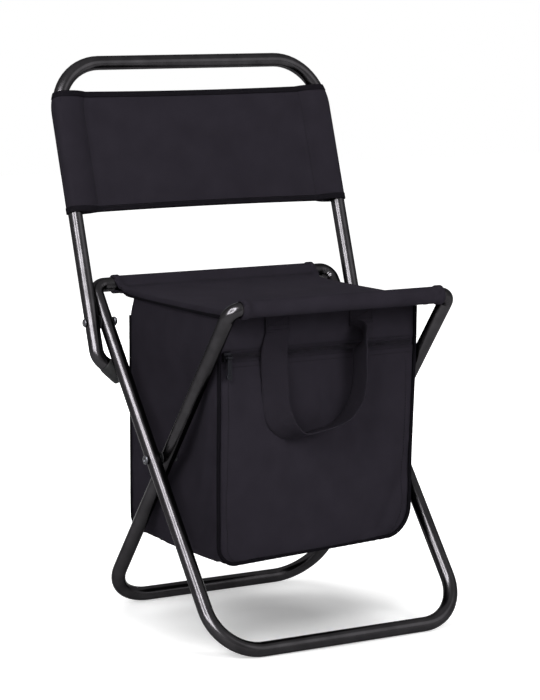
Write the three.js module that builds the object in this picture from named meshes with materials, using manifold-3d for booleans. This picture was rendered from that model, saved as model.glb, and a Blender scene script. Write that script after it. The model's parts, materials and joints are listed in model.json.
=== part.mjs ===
// Folding cooler stool: a scissor frame of bent steel tube, a fabric seat slung between its rails, a
// cooler bag hung under the seat, and a backrest bolted to the outer legs.
// Millimetres, +Z up, the front towards -Y. While it is built, y is 0 at the leg crossing and z is 0 on
// the floor; at the end the stool is moved so that y is 0 in the middle of its depth.
import * as THREE from 'three';
import { mergeVertices } from 'three/addons/utils/BufferGeometryUtils.js';
import Module from 'manifold-3d';

const wasm = await Module();
wasm.setup();

// Driving dimensions of the tube
const tubeDiameter = 16;
const tubeWall = 0.8;
const seatBendRadius = 13;
const floorBendRadius = 52;
const ferruleLength = 60;
const ferruleWall = 1;

// Driving dimensions of the stance
const seatRailHeight = 366;
const seatRailReach = 134;
const floorRailReach = 142;
const outerHalfWidth = 154;

// Driving dimensions of the pivots
const pinDiameter = 6;
const pinClearance = 0.3;
const washerThickness = 1;
const washerDiameter = 15;
const rivetHeadDiameter = 10;
const rivetHeadHeight = 2.4;
const rivetTailHeight = 1.2;
const rivetEdgeHeight = 1;
const rivetTaper = 0.85;
const rivetDimpleDiameter = 5;
const rivetDimpleDepth = 1;
const boltHeadDiameter = 9;
const boltHeadHeight = 2.4;
const boltRimHeight = 0.8;
const nutAcrossFlats = 9;
const nutHeight = 3.4;

// Driving dimensions of the backrest
const backrestPivotDrop = 37;
const backrestLean = 17.7;
const backrestLength = 293;
const backrestBendRadius = 57;
const hookBendRadius = 20;
const hookBendAngle = 45;
const hookReach = 24;
const capWall = 1;
const capLength = 24;
const capEndThickness = 2;
const capEndTaper = 0.85;

// Driving dimensions of the fabric on the tubes
const sleeveWall = 1.2;
const sleeveClearance = 0.4;
const sleeveTailLength = 20;
const sleeveTailThickness = 2;
const sleeveEndInset = 1.4;
const rearSleeveEndInset = 9.4;
const seatThickness = 2;
const seatRise = 0;
const seatSideDrop = 12;
const backPanelThickness = 2.4;
const backPanelHeight = 137;
const backPanelTopGap = 25;

// Driving dimensions of the cooler bag
const bagSideClearance = 4.2;
const bagFrontInset = 46;
const bagBackInset = 29;
const bagHeight = 274;
const bagCornerRadius = 30;
const bagFabric = 1.5;
const foamThickness = 5;
const linerThickness = 1;
const pipingDiameter = 4.4;

// Driving dimensions of the zip
const zipDrop = 55;
const zipTapeHeight = 24;
const zipTapeThickness = 0.6;
const zipCoilHeight = 6;
const zipCoilProud = 0.3;
const zipSlitMargin = 2.2;
const zipEndInset = 0.3;
const sliderLength = 9;
const sliderWall = 1.3;
const sliderFaceThickness = 2;
const sliderClearance = 0.4;
const sliderEndInset = 0;
const bailBar = 1.6;
const bailGap = 2.4;
const pullerWidth = 5;
const pullerThickness = 1.6;
const pullerLength = 19;
const pullerKnobDiameter = 6.8;
const pullerKnobThickness = 2.4;
const pullerEyeWall = 0.8;

// Driving dimensions of the carry handle
const strapWidth = 30;
const strapThickness = 2;
const handleSpacing = 106;
const handleTopDrop = 14;
const handleEndLength = 16;
const handleDrop = 115;
const handleStraight = 4;
const handleClearance = 2;
const handleRestGap = 3;

// Gap between pieces that touch, and the steps of round shapes
const touchGap = 0.3;
const weldDistance = 1e-4;
const tubeSides = 16;
const boreSides = 12;
const pinSides = 16;
const nutSides = 6;
const cordSides = 8;
const bendSteps = 6;
const domeSteps = 4;
const handleSteps = 48;

// Sizes that follow from the driving dimensions
const degree = Math.PI / 180;
const tubeRadius = tubeDiameter / 2;
const tubeCorner = tubeRadius / Math.cos(Math.PI / tubeSides);
const boreRadius = tubeRadius - tubeWall;
const frameStep = tubeDiameter + washerThickness + 2 * touchGap;
const innerHalfWidth = outerHalfWidth - frameStep;
const backHalfWidth = outerHalfWidth + frameStep;
const floorRailHeight = tubeRadius;
const legRise = seatRailHeight - floorRailHeight;
const legAngle = Math.atan2(seatRailReach + floorRailReach, legRise);
const crossingHeight = seatRailHeight - seatRailReach / Math.tan(legAngle);
const pivotHeight = seatRailHeight - backrestPivotDrop;
const pivotReach = seatRailReach - backrestPivotDrop * Math.tan(legAngle);
const lean = backrestLean * degree;
const hookTurn = hookBendAngle * degree;

const sleeveBore = tubeCorner + sleeveClearance;
const sleeveRadius = sleeveBore / Math.cos(Math.PI / tubeSides) + sleeveWall;
const frontSleeveHalf = innerHalfWidth - seatBendRadius - sleeveEndInset;
const rearSleeveHalf = outerHalfWidth - seatBendRadius - rearSleeveEndInset;
const seatUnder = seatRailHeight + seatRise;

const bagHalfWidth = innerHalfWidth - tubeCorner - bagSideClearance;
const bagFront = -seatRailReach + bagFrontInset;
const bagBack = seatRailReach - bagBackInset;
const bagTop = seatUnder - touchGap;
const bagBottom = bagTop - bagHeight;
const pipingRadius = pipingDiameter / 2;
const panelInset = pipingDiameter + touchGap;
const gussetInset = bagFabric + pipingRadius + touchGap;
const gussetTop = seatUnder - seatSideDrop - touchGap;
const foamInset = bagFabric + touchGap;
const lidUnder = bagTop - foamThickness;
const coreInset = foamInset + foamThickness + touchGap;

const zipHeight = bagTop - zipDrop;
const zipSlitHalf = zipCoilHeight / 2 + zipSlitMargin;
const mouthHeight = zipHeight - zipTapeHeight / 2 - touchGap;
const zipHalfLength = bagHalfWidth - panelInset - zipEndInset;
const tapeFront = bagFront + foamInset;
const coilFront = bagFront - zipCoilProud;
const sliderFace = coilFront - sliderClearance - sliderFaceThickness;
const bailAxis = sliderFace - bailGap - bailBar / 2;
const sliderMiddle = -zipHalfLength + sliderEndInset + sliderLength / 2;
const eyeBore = bailBar / Math.SQRT2 + touchGap;
const eyeRadius = eyeBore / Math.cos(Math.PI / boreSides) + pullerEyeWall;

const handleTop = bagTop - handleTopDrop;
const handleHinge = handleTop - handleEndLength;
const strapFace = bagFront - touchGap - strapThickness;
const strapMiddle = strapFace + strapThickness / 2;
const handleStandoff = bagFront - bailAxis + eyeRadius + strapThickness / 2 + handleClearance;

const axisX = new THREE.Vector3(1, 0, 0);
const axisY = new THREE.Vector3(0, 1, 0);
const axisZ = new THREE.Vector3(0, 0, 1);
const stool = new THREE.Group();

// Finishes: one new material for each piece
const paint = () => new THREE.MeshStandardMaterial({ color: 0x141416, roughness: 0.28, metalness: 0.3 });
const steel = () => new THREE.MeshStandardMaterial({ color: 0xb9bcc0, roughness: 0.3, metalness: 0.9 });
const blackSteel = () => new THREE.MeshStandardMaterial({ color: 0x2e2e32, roughness: 0.4, metalness: 0.6 });
const blackPlastic = () => new THREE.MeshStandardMaterial({ color: 0x26262a, roughness: 0.6, metalness: 0 });
const cloth = () => new THREE.MeshStandardMaterial({ color: 0x28262c, roughness: 0.85, metalness: 0 });
const trim = () => new THREE.MeshStandardMaterial({ color: 0x17161a, roughness: 0.8, metalness: 0 });
const webbing = () => new THREE.MeshStandardMaterial({ color: 0x242228, roughness: 0.8, metalness: 0 });
const foam = () => new THREE.MeshStandardMaterial({ color: 0xe6e6e2, roughness: 0.9, metalness: 0 });
const foil = () => new THREE.MeshStandardMaterial({ color: 0xc9cdd2, roughness: 0.35, metalness: 0.4 });

function addPiece(name, geometry, material, parent = stool) {
  const mesh = new THREE.Mesh(geometry, material);
  mesh.name = name;
  parent.add(mesh);
  return mesh;
}

// Solids for cutting and joining
function toSolid(geometry) {
  const bare = geometry.clone();
  bare.deleteAttribute('normal');
  bare.deleteAttribute('uv');
  const merged = mergeVertices(bare, weldDistance);
  return new wasm.Manifold(new wasm.Mesh({
    numProp: 3,
    vertProperties: new Float32Array(merged.attributes.position.array),
    triVerts: new Uint32Array(merged.index.array),
  }));
}

function toGeometry(solid) {
  const mesh = solid.getMesh();
  const geometry = new THREE.BufferGeometry();
  geometry.setAttribute('position', new THREE.BufferAttribute(mesh.vertProperties, 3));
  geometry.setIndex(new THREE.BufferAttribute(mesh.triVerts, 1));
  geometry.computeVertexNormals();
  return geometry;
}

function cut(geometry, tools) {
  return toGeometry(tools.reduce((solid, tool) => solid.subtract(toSolid(tool)), toSolid(geometry)));
}

function join(geometries) {
  const solids = geometries.map(toSolid);
  return toGeometry(solids.reduce((sum, solid) => sum.add(solid)));
}

// A regular polygon measured to its flats, with the middle of one flat at the angle flatAt
function polygon(flatRadius, sides, flatAt = 0) {
  const corner = flatRadius / Math.cos(Math.PI / sides);
  return Array.from({ length: sides }, (unused, i) => {
    const angle = flatAt + ((i + 0.5) * 2 * Math.PI) / sides;
    return new THREE.Vector2(corner * Math.cos(angle), corner * Math.sin(angle));
  });
}

function ringShape(flatRadius, boreFlatRadius, flatAt = 0, sides = tubeSides) {
  const shape = new THREE.Shape(polygon(flatRadius, sides, flatAt));
  shape.holes.push(new THREE.Path(polygon(boreFlatRadius, boreSides, flatAt)));
  return shape;
}

// A flat shape pushed out along u x v, with its own x along u and its y along v
function prism(shape, depth, origin, u, v) {
  const geometry = new THREE.ExtrudeGeometry(shape, { depth, bevelEnabled: false, curveSegments: bendSteps });
  const w = new THREE.Vector3().crossVectors(u, v);
  geometry.applyMatrix4(new THREE.Matrix4().makeBasis(u, v, w));
  geometry.translate(origin.x, origin.y, origin.z);
  return geometry;
}

function slab(low, high) {
  const size = new THREE.Vector3().subVectors(high, low);
  const middle = new THREE.Vector3().addVectors(low, high).multiplyScalar(0.5);
  return new THREE.BoxGeometry(size.x, size.y, size.z).translate(middle.x, middle.y, middle.z);
}

// A flat route of straight runs joined by round bends, with one station at each end of a run
class BentPath extends THREE.Curve {
  constructor(corners, planeNormal) {
    super();
    this.planeNormal = planeNormal;
    this.stations = corners.flatMap((corner, i) => {
      const before = corners[i - 1]?.at;
      const after = corners[i + 1]?.at;
      const inward = before && new THREE.Vector3().subVectors(corner.at, before).normalize();
      const outward = after && new THREE.Vector3().subVectors(after, corner.at).normalize();
      if (!inward || !outward) {
        return [{ point: corner.at.clone(), tangent: inward ?? outward }];
      }
      return BentPath.bend(corner, inward, outward);
    });
  }

  static bend(corner, inward, outward) {
    const turn = inward.angleTo(outward);
    const axis = new THREE.Vector3().crossVectors(inward, outward).normalize();
    const start = corner.at.clone().addScaledVector(inward, -corner.radius * Math.tan(turn / 2));
    const toCentre = new THREE.Vector3().crossVectors(axis, inward).multiplyScalar(corner.radius);
    const centre = start.clone().add(toCentre);
    return Array.from({ length: bendSteps + 1 }, (unused, step) => {
      const angle = (turn * step) / bendSteps;
      const arm = toCentre.clone().negate().applyAxisAngle(axis, angle);
      return { point: centre.clone().add(arm), tangent: inward.clone().applyAxisAngle(axis, angle) };
    });
  }

  station(u) {
    return this.stations[Math.round(u * (this.stations.length - 1))];
  }

  getPointAt(u) {
    return this.station(u).point.clone();
  }

  computeFrenetFrames(steps) {
    const tangents = Array.from({ length: steps + 1 }, (unused, i) => this.station(i / steps).tangent);
    const binormals = tangents.map(() => this.planeNormal.clone());
    const normals = tangents.map((tangent) => new THREE.Vector3().crossVectors(this.planeNormal, tangent));
    return { tangents, normals, binormals };
  }

  sweep(shape) {
    return new THREE.ExtrudeGeometry(shape, { steps: this.stations.length - 1, extrudePath: this });
  }
}

// A cylinder along X, for drilling a tube and its sleeve of holes
function crossBore(x, y, z, diameter, length) {
  const bore = new THREE.CylinderGeometry(diameter / 2, diameter / 2, length, pinSides);
  return bore.rotateZ(Math.PI / 2).translate(x, y, z);
}

const holeDiameter = pinDiameter + 2 * pinClearance;
const drillLength = 2 * tubeDiameter;

// The two closed leg loops, each split in the middle of its seat rail
function frameTube(halfWidth, seatY, floorY) {
  const leg = new THREE.Vector3(0, floorY - seatY, -legRise).normalize();
  const planeNormal = new THREE.Vector3().crossVectors(axisX, leg);
  const seatPoint = (x) => new THREE.Vector3(x, seatY, seatRailHeight);
  const floorPoint = (x) => new THREE.Vector3(x, floorY, floorRailHeight);
  const route = new BentPath([
    { at: seatPoint(touchGap) },
    { at: seatPoint(halfWidth), radius: seatBendRadius },
    { at: floorPoint(halfWidth), radius: floorBendRadius },
    { at: floorPoint(-halfWidth), radius: floorBendRadius },
    { at: seatPoint(-halfWidth), radius: seatBendRadius },
    { at: seatPoint(-touchGap) },
  ], planeNormal);
  // One flat of the tube faces straight down along the floor rail
  const flatAt = Math.sign(seatY) * (Math.PI - legAngle);
  const tube = route.sweep(ringShape(tubeRadius, boreRadius, flatAt));
  const ferruleRoute = new BentPath([
    { at: seatPoint(-ferruleLength / 2) },
    { at: seatPoint(ferruleLength / 2) },
  ], planeNormal);
  const ferruleRadius = boreRadius - touchGap;
  const ferruleBore = ferruleRadius - ferruleWall;
  const ferrule = ferruleRoute.sweep(ringShape(ferruleRadius, ferruleBore, flatAt, boreSides));
  return { tube, ferrule };
}

function legHoles(halfWidth) {
  return [-1, 1].map((side) => crossBore(side * halfWidth, 0, crossingHeight, holeDiameter, drillLength));
}

const outerFrame = frameTube(outerHalfWidth, seatRailReach, -floorRailReach);
const boltHoles = [-1, 1].map(
  (side) => crossBore(side * outerHalfWidth, pivotReach, pivotHeight, holeDiameter, drillLength),
);
addPiece('outer_frame_tube', cut(outerFrame.tube, [...legHoles(outerHalfWidth), ...boltHoles]), paint());
addPiece('outer_frame_ferrule', outerFrame.ferrule, steel());

const innerFrame = frameTube(innerHalfWidth, -seatRailReach, floorRailReach);
addPiece('inner_frame_tube', cut(innerFrame.tube, legHoles(innerHalfWidth)), paint());
addPiece('inner_frame_ferrule', innerFrame.ferrule, steel());

// Turned pieces on a pivot: h runs outwards along X from the middle of the inner of the two tubes
const seatGap = tubeCorner + touchGap;
const pinRadius = pinDiameter / 2;

function turned(profile) {
  return new THREE.LatheGeometry(profile.map(([r, h]) => new THREE.Vector2(r, h)), pinSides);
}

function placeOutwards(mesh, side, x, y, z) {
  mesh.position.set(side * x, y, z);
  mesh.rotation.z = (-side * Math.PI) / 2;
}

function rivet() {
  const tailFace = -seatGap;
  const headFace = frameStep + seatGap;
  const headTop = headFace + rivetHeadHeight;
  const headRadius = rivetHeadDiameter / 2;
  const dimpleRadius = rivetDimpleDiameter / 2;
  return turned([
    [0, tailFace - rivetTailHeight],
    [headRadius * rivetTaper, tailFace - rivetTailHeight],
    [headRadius, tailFace],
    [pinRadius, tailFace],
    [pinRadius, headFace],
    [headRadius, headFace],
    [headRadius, headFace + rivetEdgeHeight],
    [headRadius * rivetTaper, headTop],
    [dimpleRadius, headTop],
    [dimpleRadius * rivetTaper, headTop - rivetDimpleDepth],
    [0, headTop - rivetDimpleDepth],
  ]);
}

function bolt() {
  const endFace = -seatGap - nutHeight;
  const headFace = frameStep + seatGap;
  const headRadius = boltHeadDiameter / 2;
  const rim = headFace + boltRimHeight;
  const dome = Array.from({ length: domeSteps + 1 }, (unused, step) => {
    const angle = (step * Math.PI) / (2 * domeSteps);
    return [headRadius * Math.cos(angle), rim + (boltHeadHeight - boltRimHeight) * Math.sin(angle)];
  });
  const shank = [[0, endFace], [pinRadius, endFace], [pinRadius, headFace]];
  return turned([...shank, [headRadius, headFace], ...dome]);
}

function washer() {
  const inner = pinRadius + pinClearance;
  const outer = washerDiameter / 2;
  const half = washerThickness / 2;
  return turned([[inner, -half], [outer, -half], [outer, half], [inner, half], [inner, -half]]);
}

function nut() {
  const shape = new THREE.Shape(polygon(nutAcrossFlats / 2, nutSides));
  shape.holes.push(new THREE.Path(polygon(pinRadius + pinClearance, pinSides)));
  return new THREE.ExtrudeGeometry(shape, { depth: nutHeight, bevelEnabled: false }).rotateX(Math.PI / 2);
}

for (const [label, side] of [['left', -1], ['right', 1]]) {
  const rivetMesh = addPiece(`leg_pivot_rivet_${label}`, rivet(), blackSteel());
  placeOutwards(rivetMesh, side, innerHalfWidth, 0, crossingHeight);
  const legWasher = addPiece(`leg_pivot_washer_${label}`, washer(), blackPlastic());
  placeOutwards(legWasher, side, innerHalfWidth + frameStep / 2, 0, crossingHeight);
  const boltMesh = addPiece(`backrest_bolt_${label}`, bolt(), blackSteel());
  placeOutwards(boltMesh, side, outerHalfWidth, pivotReach, pivotHeight);
  const backWasher = addPiece(`backrest_washer_${label}`, washer(), blackPlastic());
  placeOutwards(backWasher, side, outerHalfWidth + frameStep / 2, pivotReach, pivotHeight);
  const nutMesh = addPiece(`backrest_nut_${label}`, nut(), blackSteel());
  placeOutwards(nutMesh, side, outerHalfWidth - seatGap, pivotReach, pivotHeight);
}

// Backrest, built upright about its pivot and then leaned back: x across, z up along the tube
const backrest = new THREE.Group();
backrest.position.set(0, pivotReach, pivotHeight);
backrest.rotation.x = -lean;
stool.add(backrest);

// The bent end crosses behind the outer leg with the cap just clear of it: the rear stop
const capBore = (tubeCorner + touchGap) / Math.cos(Math.PI / tubeSides);
const capRadius = capBore + capWall;
const spread = Math.sin(legAngle - lean);
const hookShare = (Math.sin(hookTurn) * spread) / Math.hypot(Math.sin(hookTurn), Math.cos(hookTurn) * spread);
const crossingDrop = (capRadius + tubeCorner + touchGap) / hookShare;
const hookDrop = crossingDrop - frameStep / Math.tan(hookTurn);
const hookTip = new THREE.Vector3(backHalfWidth - hookReach, 0, -hookDrop - hookReach / Math.tan(hookTurn));
const hookAlong = new THREE.Vector3(-Math.sin(hookTurn), 0, -Math.cos(hookTurn));

// The upside-down U of the backrest, with its bent ends or cut off straight at the height cutAt
function backrestRoute(cutAt) {
  const mirror = (point) => point.clone().multiply(new THREE.Vector3(-1, 1, 1));
  const hookCorner = new THREE.Vector3(backHalfWidth, 0, -hookDrop);
  const topCorner = new THREE.Vector3(backHalfWidth, 0, backrestLength);
  const end = cutAt === undefined
    ? [{ at: hookTip }, { at: hookCorner, radius: hookBendRadius }]
    : [{ at: new THREE.Vector3(backHalfWidth, 0, cutAt) }];
  const half = [...end, { at: topCorner, radius: backrestBendRadius }];
  const otherHalf = half.map(({ at, radius }) => ({ at: mirror(at), radius })).reverse();
  return new BentPath([...half, ...otherHalf], axisY.clone().negate());
}

function backrestTube() {
  const holes = [-1, 1].map((side) => crossBore(side * backHalfWidth, 0, 0, holeDiameter, drillLength));
  return cut(backrestRoute().sweep(ringShape(tubeRadius, boreRadius)), holes);
}
addPiece('backrest_tube', backrestTube(), paint(), backrest);

function endCap() {
  const innerEnd = -touchGap;
  const outerEnd = innerEnd - capEndThickness;
  const mouth = capLength - capEndThickness;
  return new THREE.LatheGeometry([
    [0, outerEnd],
    [capRadius * capEndTaper, outerEnd],
    [capRadius, outerEnd + capEndThickness / 2],
    [capRadius, mouth],
    [capBore, mouth],
    [capBore, innerEnd],
    [0, innerEnd],
  ].map(([r, h]) => new THREE.Vector2(r, h)), tubeSides);
}

for (const [label, side] of [['left', -1], ['right', 1]]) {
  const cap = addPiece(`backrest_end_cap_${label}`, endCap(), blackPlastic(), backrest);
  cap.position.set(side * hookTip.x, 0, hookTip.z);
  const upTube = new THREE.Vector3(-side * hookAlong.x, 0, -hookAlong.z);
  cap.quaternion.setFromUnitVectors(axisY, upTube);
}

// Backrest panel: a flat sheet between the uprights and a sleeve that follows each of them into its bend
function backrestPanel() {
  const top = backrestLength - tubeRadius - backPanelTopGap;
  const bottom = top - backPanelHeight;
  const bendStart = backrestLength - backrestBendRadius;
  const bendHeight = Math.max(0, top - bendStart);
  const bendAngle = Math.asin(bendHeight / backrestBendRadius);
  const bendMiddle = backHalfWidth - backrestBendRadius;
  const sheetShape = new THREE.Shape();
  sheetShape.moveTo(-backHalfWidth, bottom);
  sheetShape.lineTo(backHalfWidth, bottom);
  sheetShape.lineTo(backHalfWidth, top - bendHeight);
  sheetShape.absarc(bendMiddle, top - bendHeight, backrestBendRadius, 0, bendAngle);
  sheetShape.absarc(-bendMiddle, top - bendHeight, backrestBendRadius, Math.PI - bendAngle, Math.PI);
  sheetShape.closePath();
  const sheetStart = new THREE.Vector3(0, backPanelThickness / 2, 0);
  const sheet = toSolid(prism(sheetShape, backPanelThickness, sheetStart, axisX, axisZ));
  const upright = (flatRadius) => {
    const round = new THREE.Shape(polygon(flatRadius, tubeSides));
    return toSolid(backrestRoute(0).sweep(round));
  };
  const span = toSolid(slab(
    new THREE.Vector3(-2 * backHalfWidth, -tubeDiameter, bottom),
    new THREE.Vector3(2 * backHalfWidth, tubeDiameter, top),
  ));
  const sleeves = upright(sleeveRadius).intersect(span);
  return toGeometry(sheet.add(sleeves).subtract(upright(sleeveBore)));
}
addPiece('backrest_panel', backrestPanel(), cloth(), backrest);

// Seat sleeves: a ring round the rail with a tail that is sewn under the seat panel
function seatSleeve(railY, halfLength) {
  const tailTop = seatRise - touchGap;
  const tailUnder = tailTop - sleeveTailThickness;
  const shape = new THREE.Shape();
  shape.moveTo(sleeveTailLength, tailTop);
  const from = Math.asin(tailTop / sleeveRadius);
  shape.absarc(0, 0, sleeveRadius, from, 2 * Math.PI + Math.asin(tailUnder / sleeveRadius));
  shape.lineTo(sleeveTailLength, tailUnder);
  shape.closePath();
  shape.holes.push(new THREE.Path(polygon(sleeveBore, tubeSides)));
  const inward = new THREE.Vector3(0, -Math.sign(railY), 0);
  const start = new THREE.Vector3(Math.sign(railY) * halfLength, railY, seatRailHeight);
  return prism(shape, 2 * halfLength, start, inward, axisZ);
}
addPiece('seat_rear_sleeve', seatSleeve(seatRailReach, rearSleeveHalf), cloth());
addPiece('seat_front_sleeve', seatSleeve(-seatRailReach, frontSleeveHalf), cloth());

// Seat panel between the sleeves, with its sides turned down where the bag is sewn on
function seatPanel() {
  const ringSide = Math.sqrt(sleeveRadius ** 2 - seatRise ** 2);
  const reach = seatRailReach - ringSide - touchGap;
  const top = slab(
    new THREE.Vector3(-bagHalfWidth, -reach, seatUnder),
    new THREE.Vector3(bagHalfWidth, reach, seatUnder + seatThickness),
  );
  const sides = [-1, 1].map((side) => slab(
    new THREE.Vector3(Math.min(side * bagHalfWidth, side * (bagHalfWidth - bagFabric)),
      bagFront + gussetInset, seatUnder - seatSideDrop),
    new THREE.Vector3(Math.max(side * bagHalfWidth, side * (bagHalfWidth - bagFabric)),
      bagBack - gussetInset, seatUnder + seatThickness / 2),
  ));
  return join([top, ...sides]);
}
addPiece('seat_panel', seatPanel(), cloth());

// Outlines of the bag seen from the front, drawn in by an inset from its outer face
function bagOutline(inset, top) {
  const half = bagHalfWidth - inset;
  const bottom = bagBottom + inset;
  const radius = bagCornerRadius - inset;
  const shape = new THREE.Shape();
  shape.moveTo(half, top);
  shape.lineTo(-half, top);
  shape.lineTo(-half, bottom + radius);
  shape.absarc(-half + radius, bottom + radius, radius, Math.PI, 1.5 * Math.PI);
  shape.absarc(half - radius, bottom + radius, radius, 1.5 * Math.PI, 2 * Math.PI);
  shape.closePath();
  return shape;
}

// A panel or core standing across the bag, from the face at y to the face depth behind it
function bagSlice(inset, top, y, depth) {
  const origin = new THREE.Vector3(0, y + depth, 0);
  return prism(bagOutline(inset, top), depth, origin, axisX, axisZ);
}

// A band that runs down one side, across the bottom and up the other side
function bagBand(inset, thickness, top, y, depth) {
  const hollow = bagSlice(inset + thickness, top + thickness, y - thickness, depth + 2 * thickness);
  return cut(bagSlice(inset, top, y, depth), [hollow]);
}

const gussetFront = bagFront + gussetInset;
const gussetDepth = bagBack - gussetInset - gussetFront;
const coreFront = bagFront + coreInset;
const coreDepth = bagBack - coreInset - coreFront;
const foamTop = lidUnder - touchGap;

addPiece('bag_gusset', bagBand(0, bagFabric, gussetTop, gussetFront, gussetDepth), cloth());
addPiece('gusset_foam', bagBand(foamInset, foamThickness, foamTop, coreFront, coreDepth), foam());

function coolerLiner() {
  const outer = bagSlice(coreInset, mouthHeight, coreFront, coreDepth);
  const inner = bagSlice(
    coreInset + linerThickness,
    mouthHeight + linerThickness,
    coreFront + linerThickness,
    coreDepth - 2 * linerThickness,
  );
  return cut(outer, [inner]);
}
addPiece('cooler_liner', coolerLiner(), foil());

addPiece('lid_foam', slab(
  new THREE.Vector3(-bagHalfWidth + panelInset, bagFront + foamInset, lidUnder),
  new THREE.Vector3(bagHalfWidth - panelInset, bagBack - foamInset, bagTop),
), foam());

// Front and back of the bag
addPiece('front_panel', bagSlice(panelInset, zipHeight - zipSlitHalf, bagFront, bagFabric), cloth());
addPiece('front_foam', bagSlice(panelInset, mouthHeight, bagFront + foamInset, foamThickness), foam());
addPiece('upper_band', slab(
  new THREE.Vector3(-bagHalfWidth + panelInset, bagFront, zipHeight + zipSlitHalf),
  new THREE.Vector3(bagHalfWidth - panelInset, bagFront + bagFabric, bagTop),
), cloth());
addPiece('back_panel', bagSlice(panelInset, bagTop, bagBack - bagFabric, bagFabric), cloth());
const backFoamFront = bagBack - foamInset - foamThickness;
addPiece('back_foam', bagSlice(panelInset, foamTop, backFoamFront, foamThickness), foam());

function piping(y) {
  const half = bagHalfWidth - pipingRadius;
  const bottom = bagBottom + pipingRadius;
  const radius = bagCornerRadius - pipingRadius;
  const route = new BentPath([
    { at: new THREE.Vector3(-half, y, bagTop) },
    { at: new THREE.Vector3(-half, y, bottom), radius },
    { at: new THREE.Vector3(half, y, bottom), radius },
    { at: new THREE.Vector3(half, y, bagTop) },
  ], axisY);
  return route.sweep(new THREE.Shape(polygon(pipingRadius, cordSides)));
}
addPiece('front_piping', piping(bagFront + bagFabric), trim());
addPiece('back_piping', piping(bagBack - bagFabric), trim());

// Zip: tape behind the two panels, with the coil standing in the slit between them
function zipChain() {
  const coilHalf = zipCoilHeight / 2;
  const tapeHalf = zipTapeHeight / 2;
  const tapeBack = tapeFront + zipTapeThickness;
  const shape = new THREE.Shape([
    new THREE.Vector2(tapeBack, -tapeHalf),
    new THREE.Vector2(tapeBack, tapeHalf),
    new THREE.Vector2(tapeFront, tapeHalf),
    new THREE.Vector2(tapeFront, coilHalf),
    new THREE.Vector2(coilFront, coilHalf),
    new THREE.Vector2(coilFront, -coilHalf),
    new THREE.Vector2(tapeFront, -coilHalf),
    new THREE.Vector2(tapeFront, -tapeHalf),
  ]);
  return prism(shape, 2 * zipHalfLength, new THREE.Vector3(-zipHalfLength, 0, zipHeight), axisY, axisZ);
}
addPiece('zip_chain', zipChain(), trim());

// Slider: a channel over the coil, with a bail in front that holds the puller
function zipSlider() {
  const channel = zipCoilHeight / 2 + sliderClearance;
  const half = channel + sliderWall;
  const back = tapeFront - sliderClearance;
  const floor = coilFront - sliderClearance;
  const body = new THREE.Shape([
    new THREE.Vector2(sliderFace, -half),
    new THREE.Vector2(back, -half),
    new THREE.Vector2(back, -channel),
    new THREE.Vector2(floor, -channel),
    new THREE.Vector2(floor, channel),
    new THREE.Vector2(back, channel),
    new THREE.Vector2(back, half),
    new THREE.Vector2(sliderFace, half),
  ]);
  const start = new THREE.Vector3(sliderMiddle - sliderLength / 2, 0, zipHeight);
  const bailInner = pullerWidth / 2 + touchGap;
  const bailOuter = bailInner + bailBar;
  const bailFront = bailAxis - bailBar / 2;
  const bailFoot = sliderFace + sliderFaceThickness / 2;
  const bail = new THREE.Shape([
    new THREE.Vector2(-bailOuter, bailFoot),
    new THREE.Vector2(-bailOuter, bailFront),
    new THREE.Vector2(bailOuter, bailFront),
    new THREE.Vector2(bailOuter, bailFoot),
    new THREE.Vector2(bailInner, bailFoot),
    new THREE.Vector2(bailInner, bailFront + bailBar),
    new THREE.Vector2(-bailInner, bailFront + bailBar),
    new THREE.Vector2(-bailInner, bailFoot),
  ]);
  const bailStart = new THREE.Vector3(sliderMiddle, 0, zipHeight - bailBar / 2);
  return join([
    prism(body, sliderLength, start, axisY, axisZ),
    prism(bail, bailBar, bailStart, axisX, axisY),
  ]);
}
addPiece('zip_slider', zipSlider(), blackSteel());

// Puller: an eye round the bail, a flat tab and a round knob
function zipPuller() {
  const eye = new THREE.CylinderGeometry(eyeRadius, eyeRadius, pullerWidth, boreSides).rotateZ(Math.PI / 2);
  const tab = slab(
    new THREE.Vector3(-pullerWidth / 2, -pullerThickness / 2, -pullerLength),
    new THREE.Vector3(pullerWidth / 2, pullerThickness / 2, 0),
  );
  const knobRadius = pullerKnobDiameter / 2;
  const knob = new THREE.CylinderGeometry(knobRadius, knobRadius, pullerKnobThickness, boreSides)
    .translate(0, 0, -pullerLength - knobRadius / 2);
  const bore = new THREE.Shape(polygon(eyeBore, boreSides));
  const drill = prism(bore, 2 * pullerWidth, new THREE.Vector3(-pullerWidth, 0, 0), axisY, axisZ);
  return cut(join([eye, tab, knob]), [drill]).translate(sliderMiddle, bailAxis, zipHeight);
}
addPiece('zip_puller', zipPuller(), blackSteel());

// Carry handle: two sewn ends and a hanging loop of the same webbing, which turns edge-on as it hangs
for (const [label, side] of [['left', -1], ['right', 1]]) {
  const middle = (side * handleSpacing) / 2;
  addPiece(`handle_end_${label}`, slab(
    new THREE.Vector3(middle - strapWidth / 2, strapFace, handleHinge + touchGap / 2),
    new THREE.Vector3(middle + strapWidth / 2, strapFace + strapThickness, handleTop),
  ), webbing());
}

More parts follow.
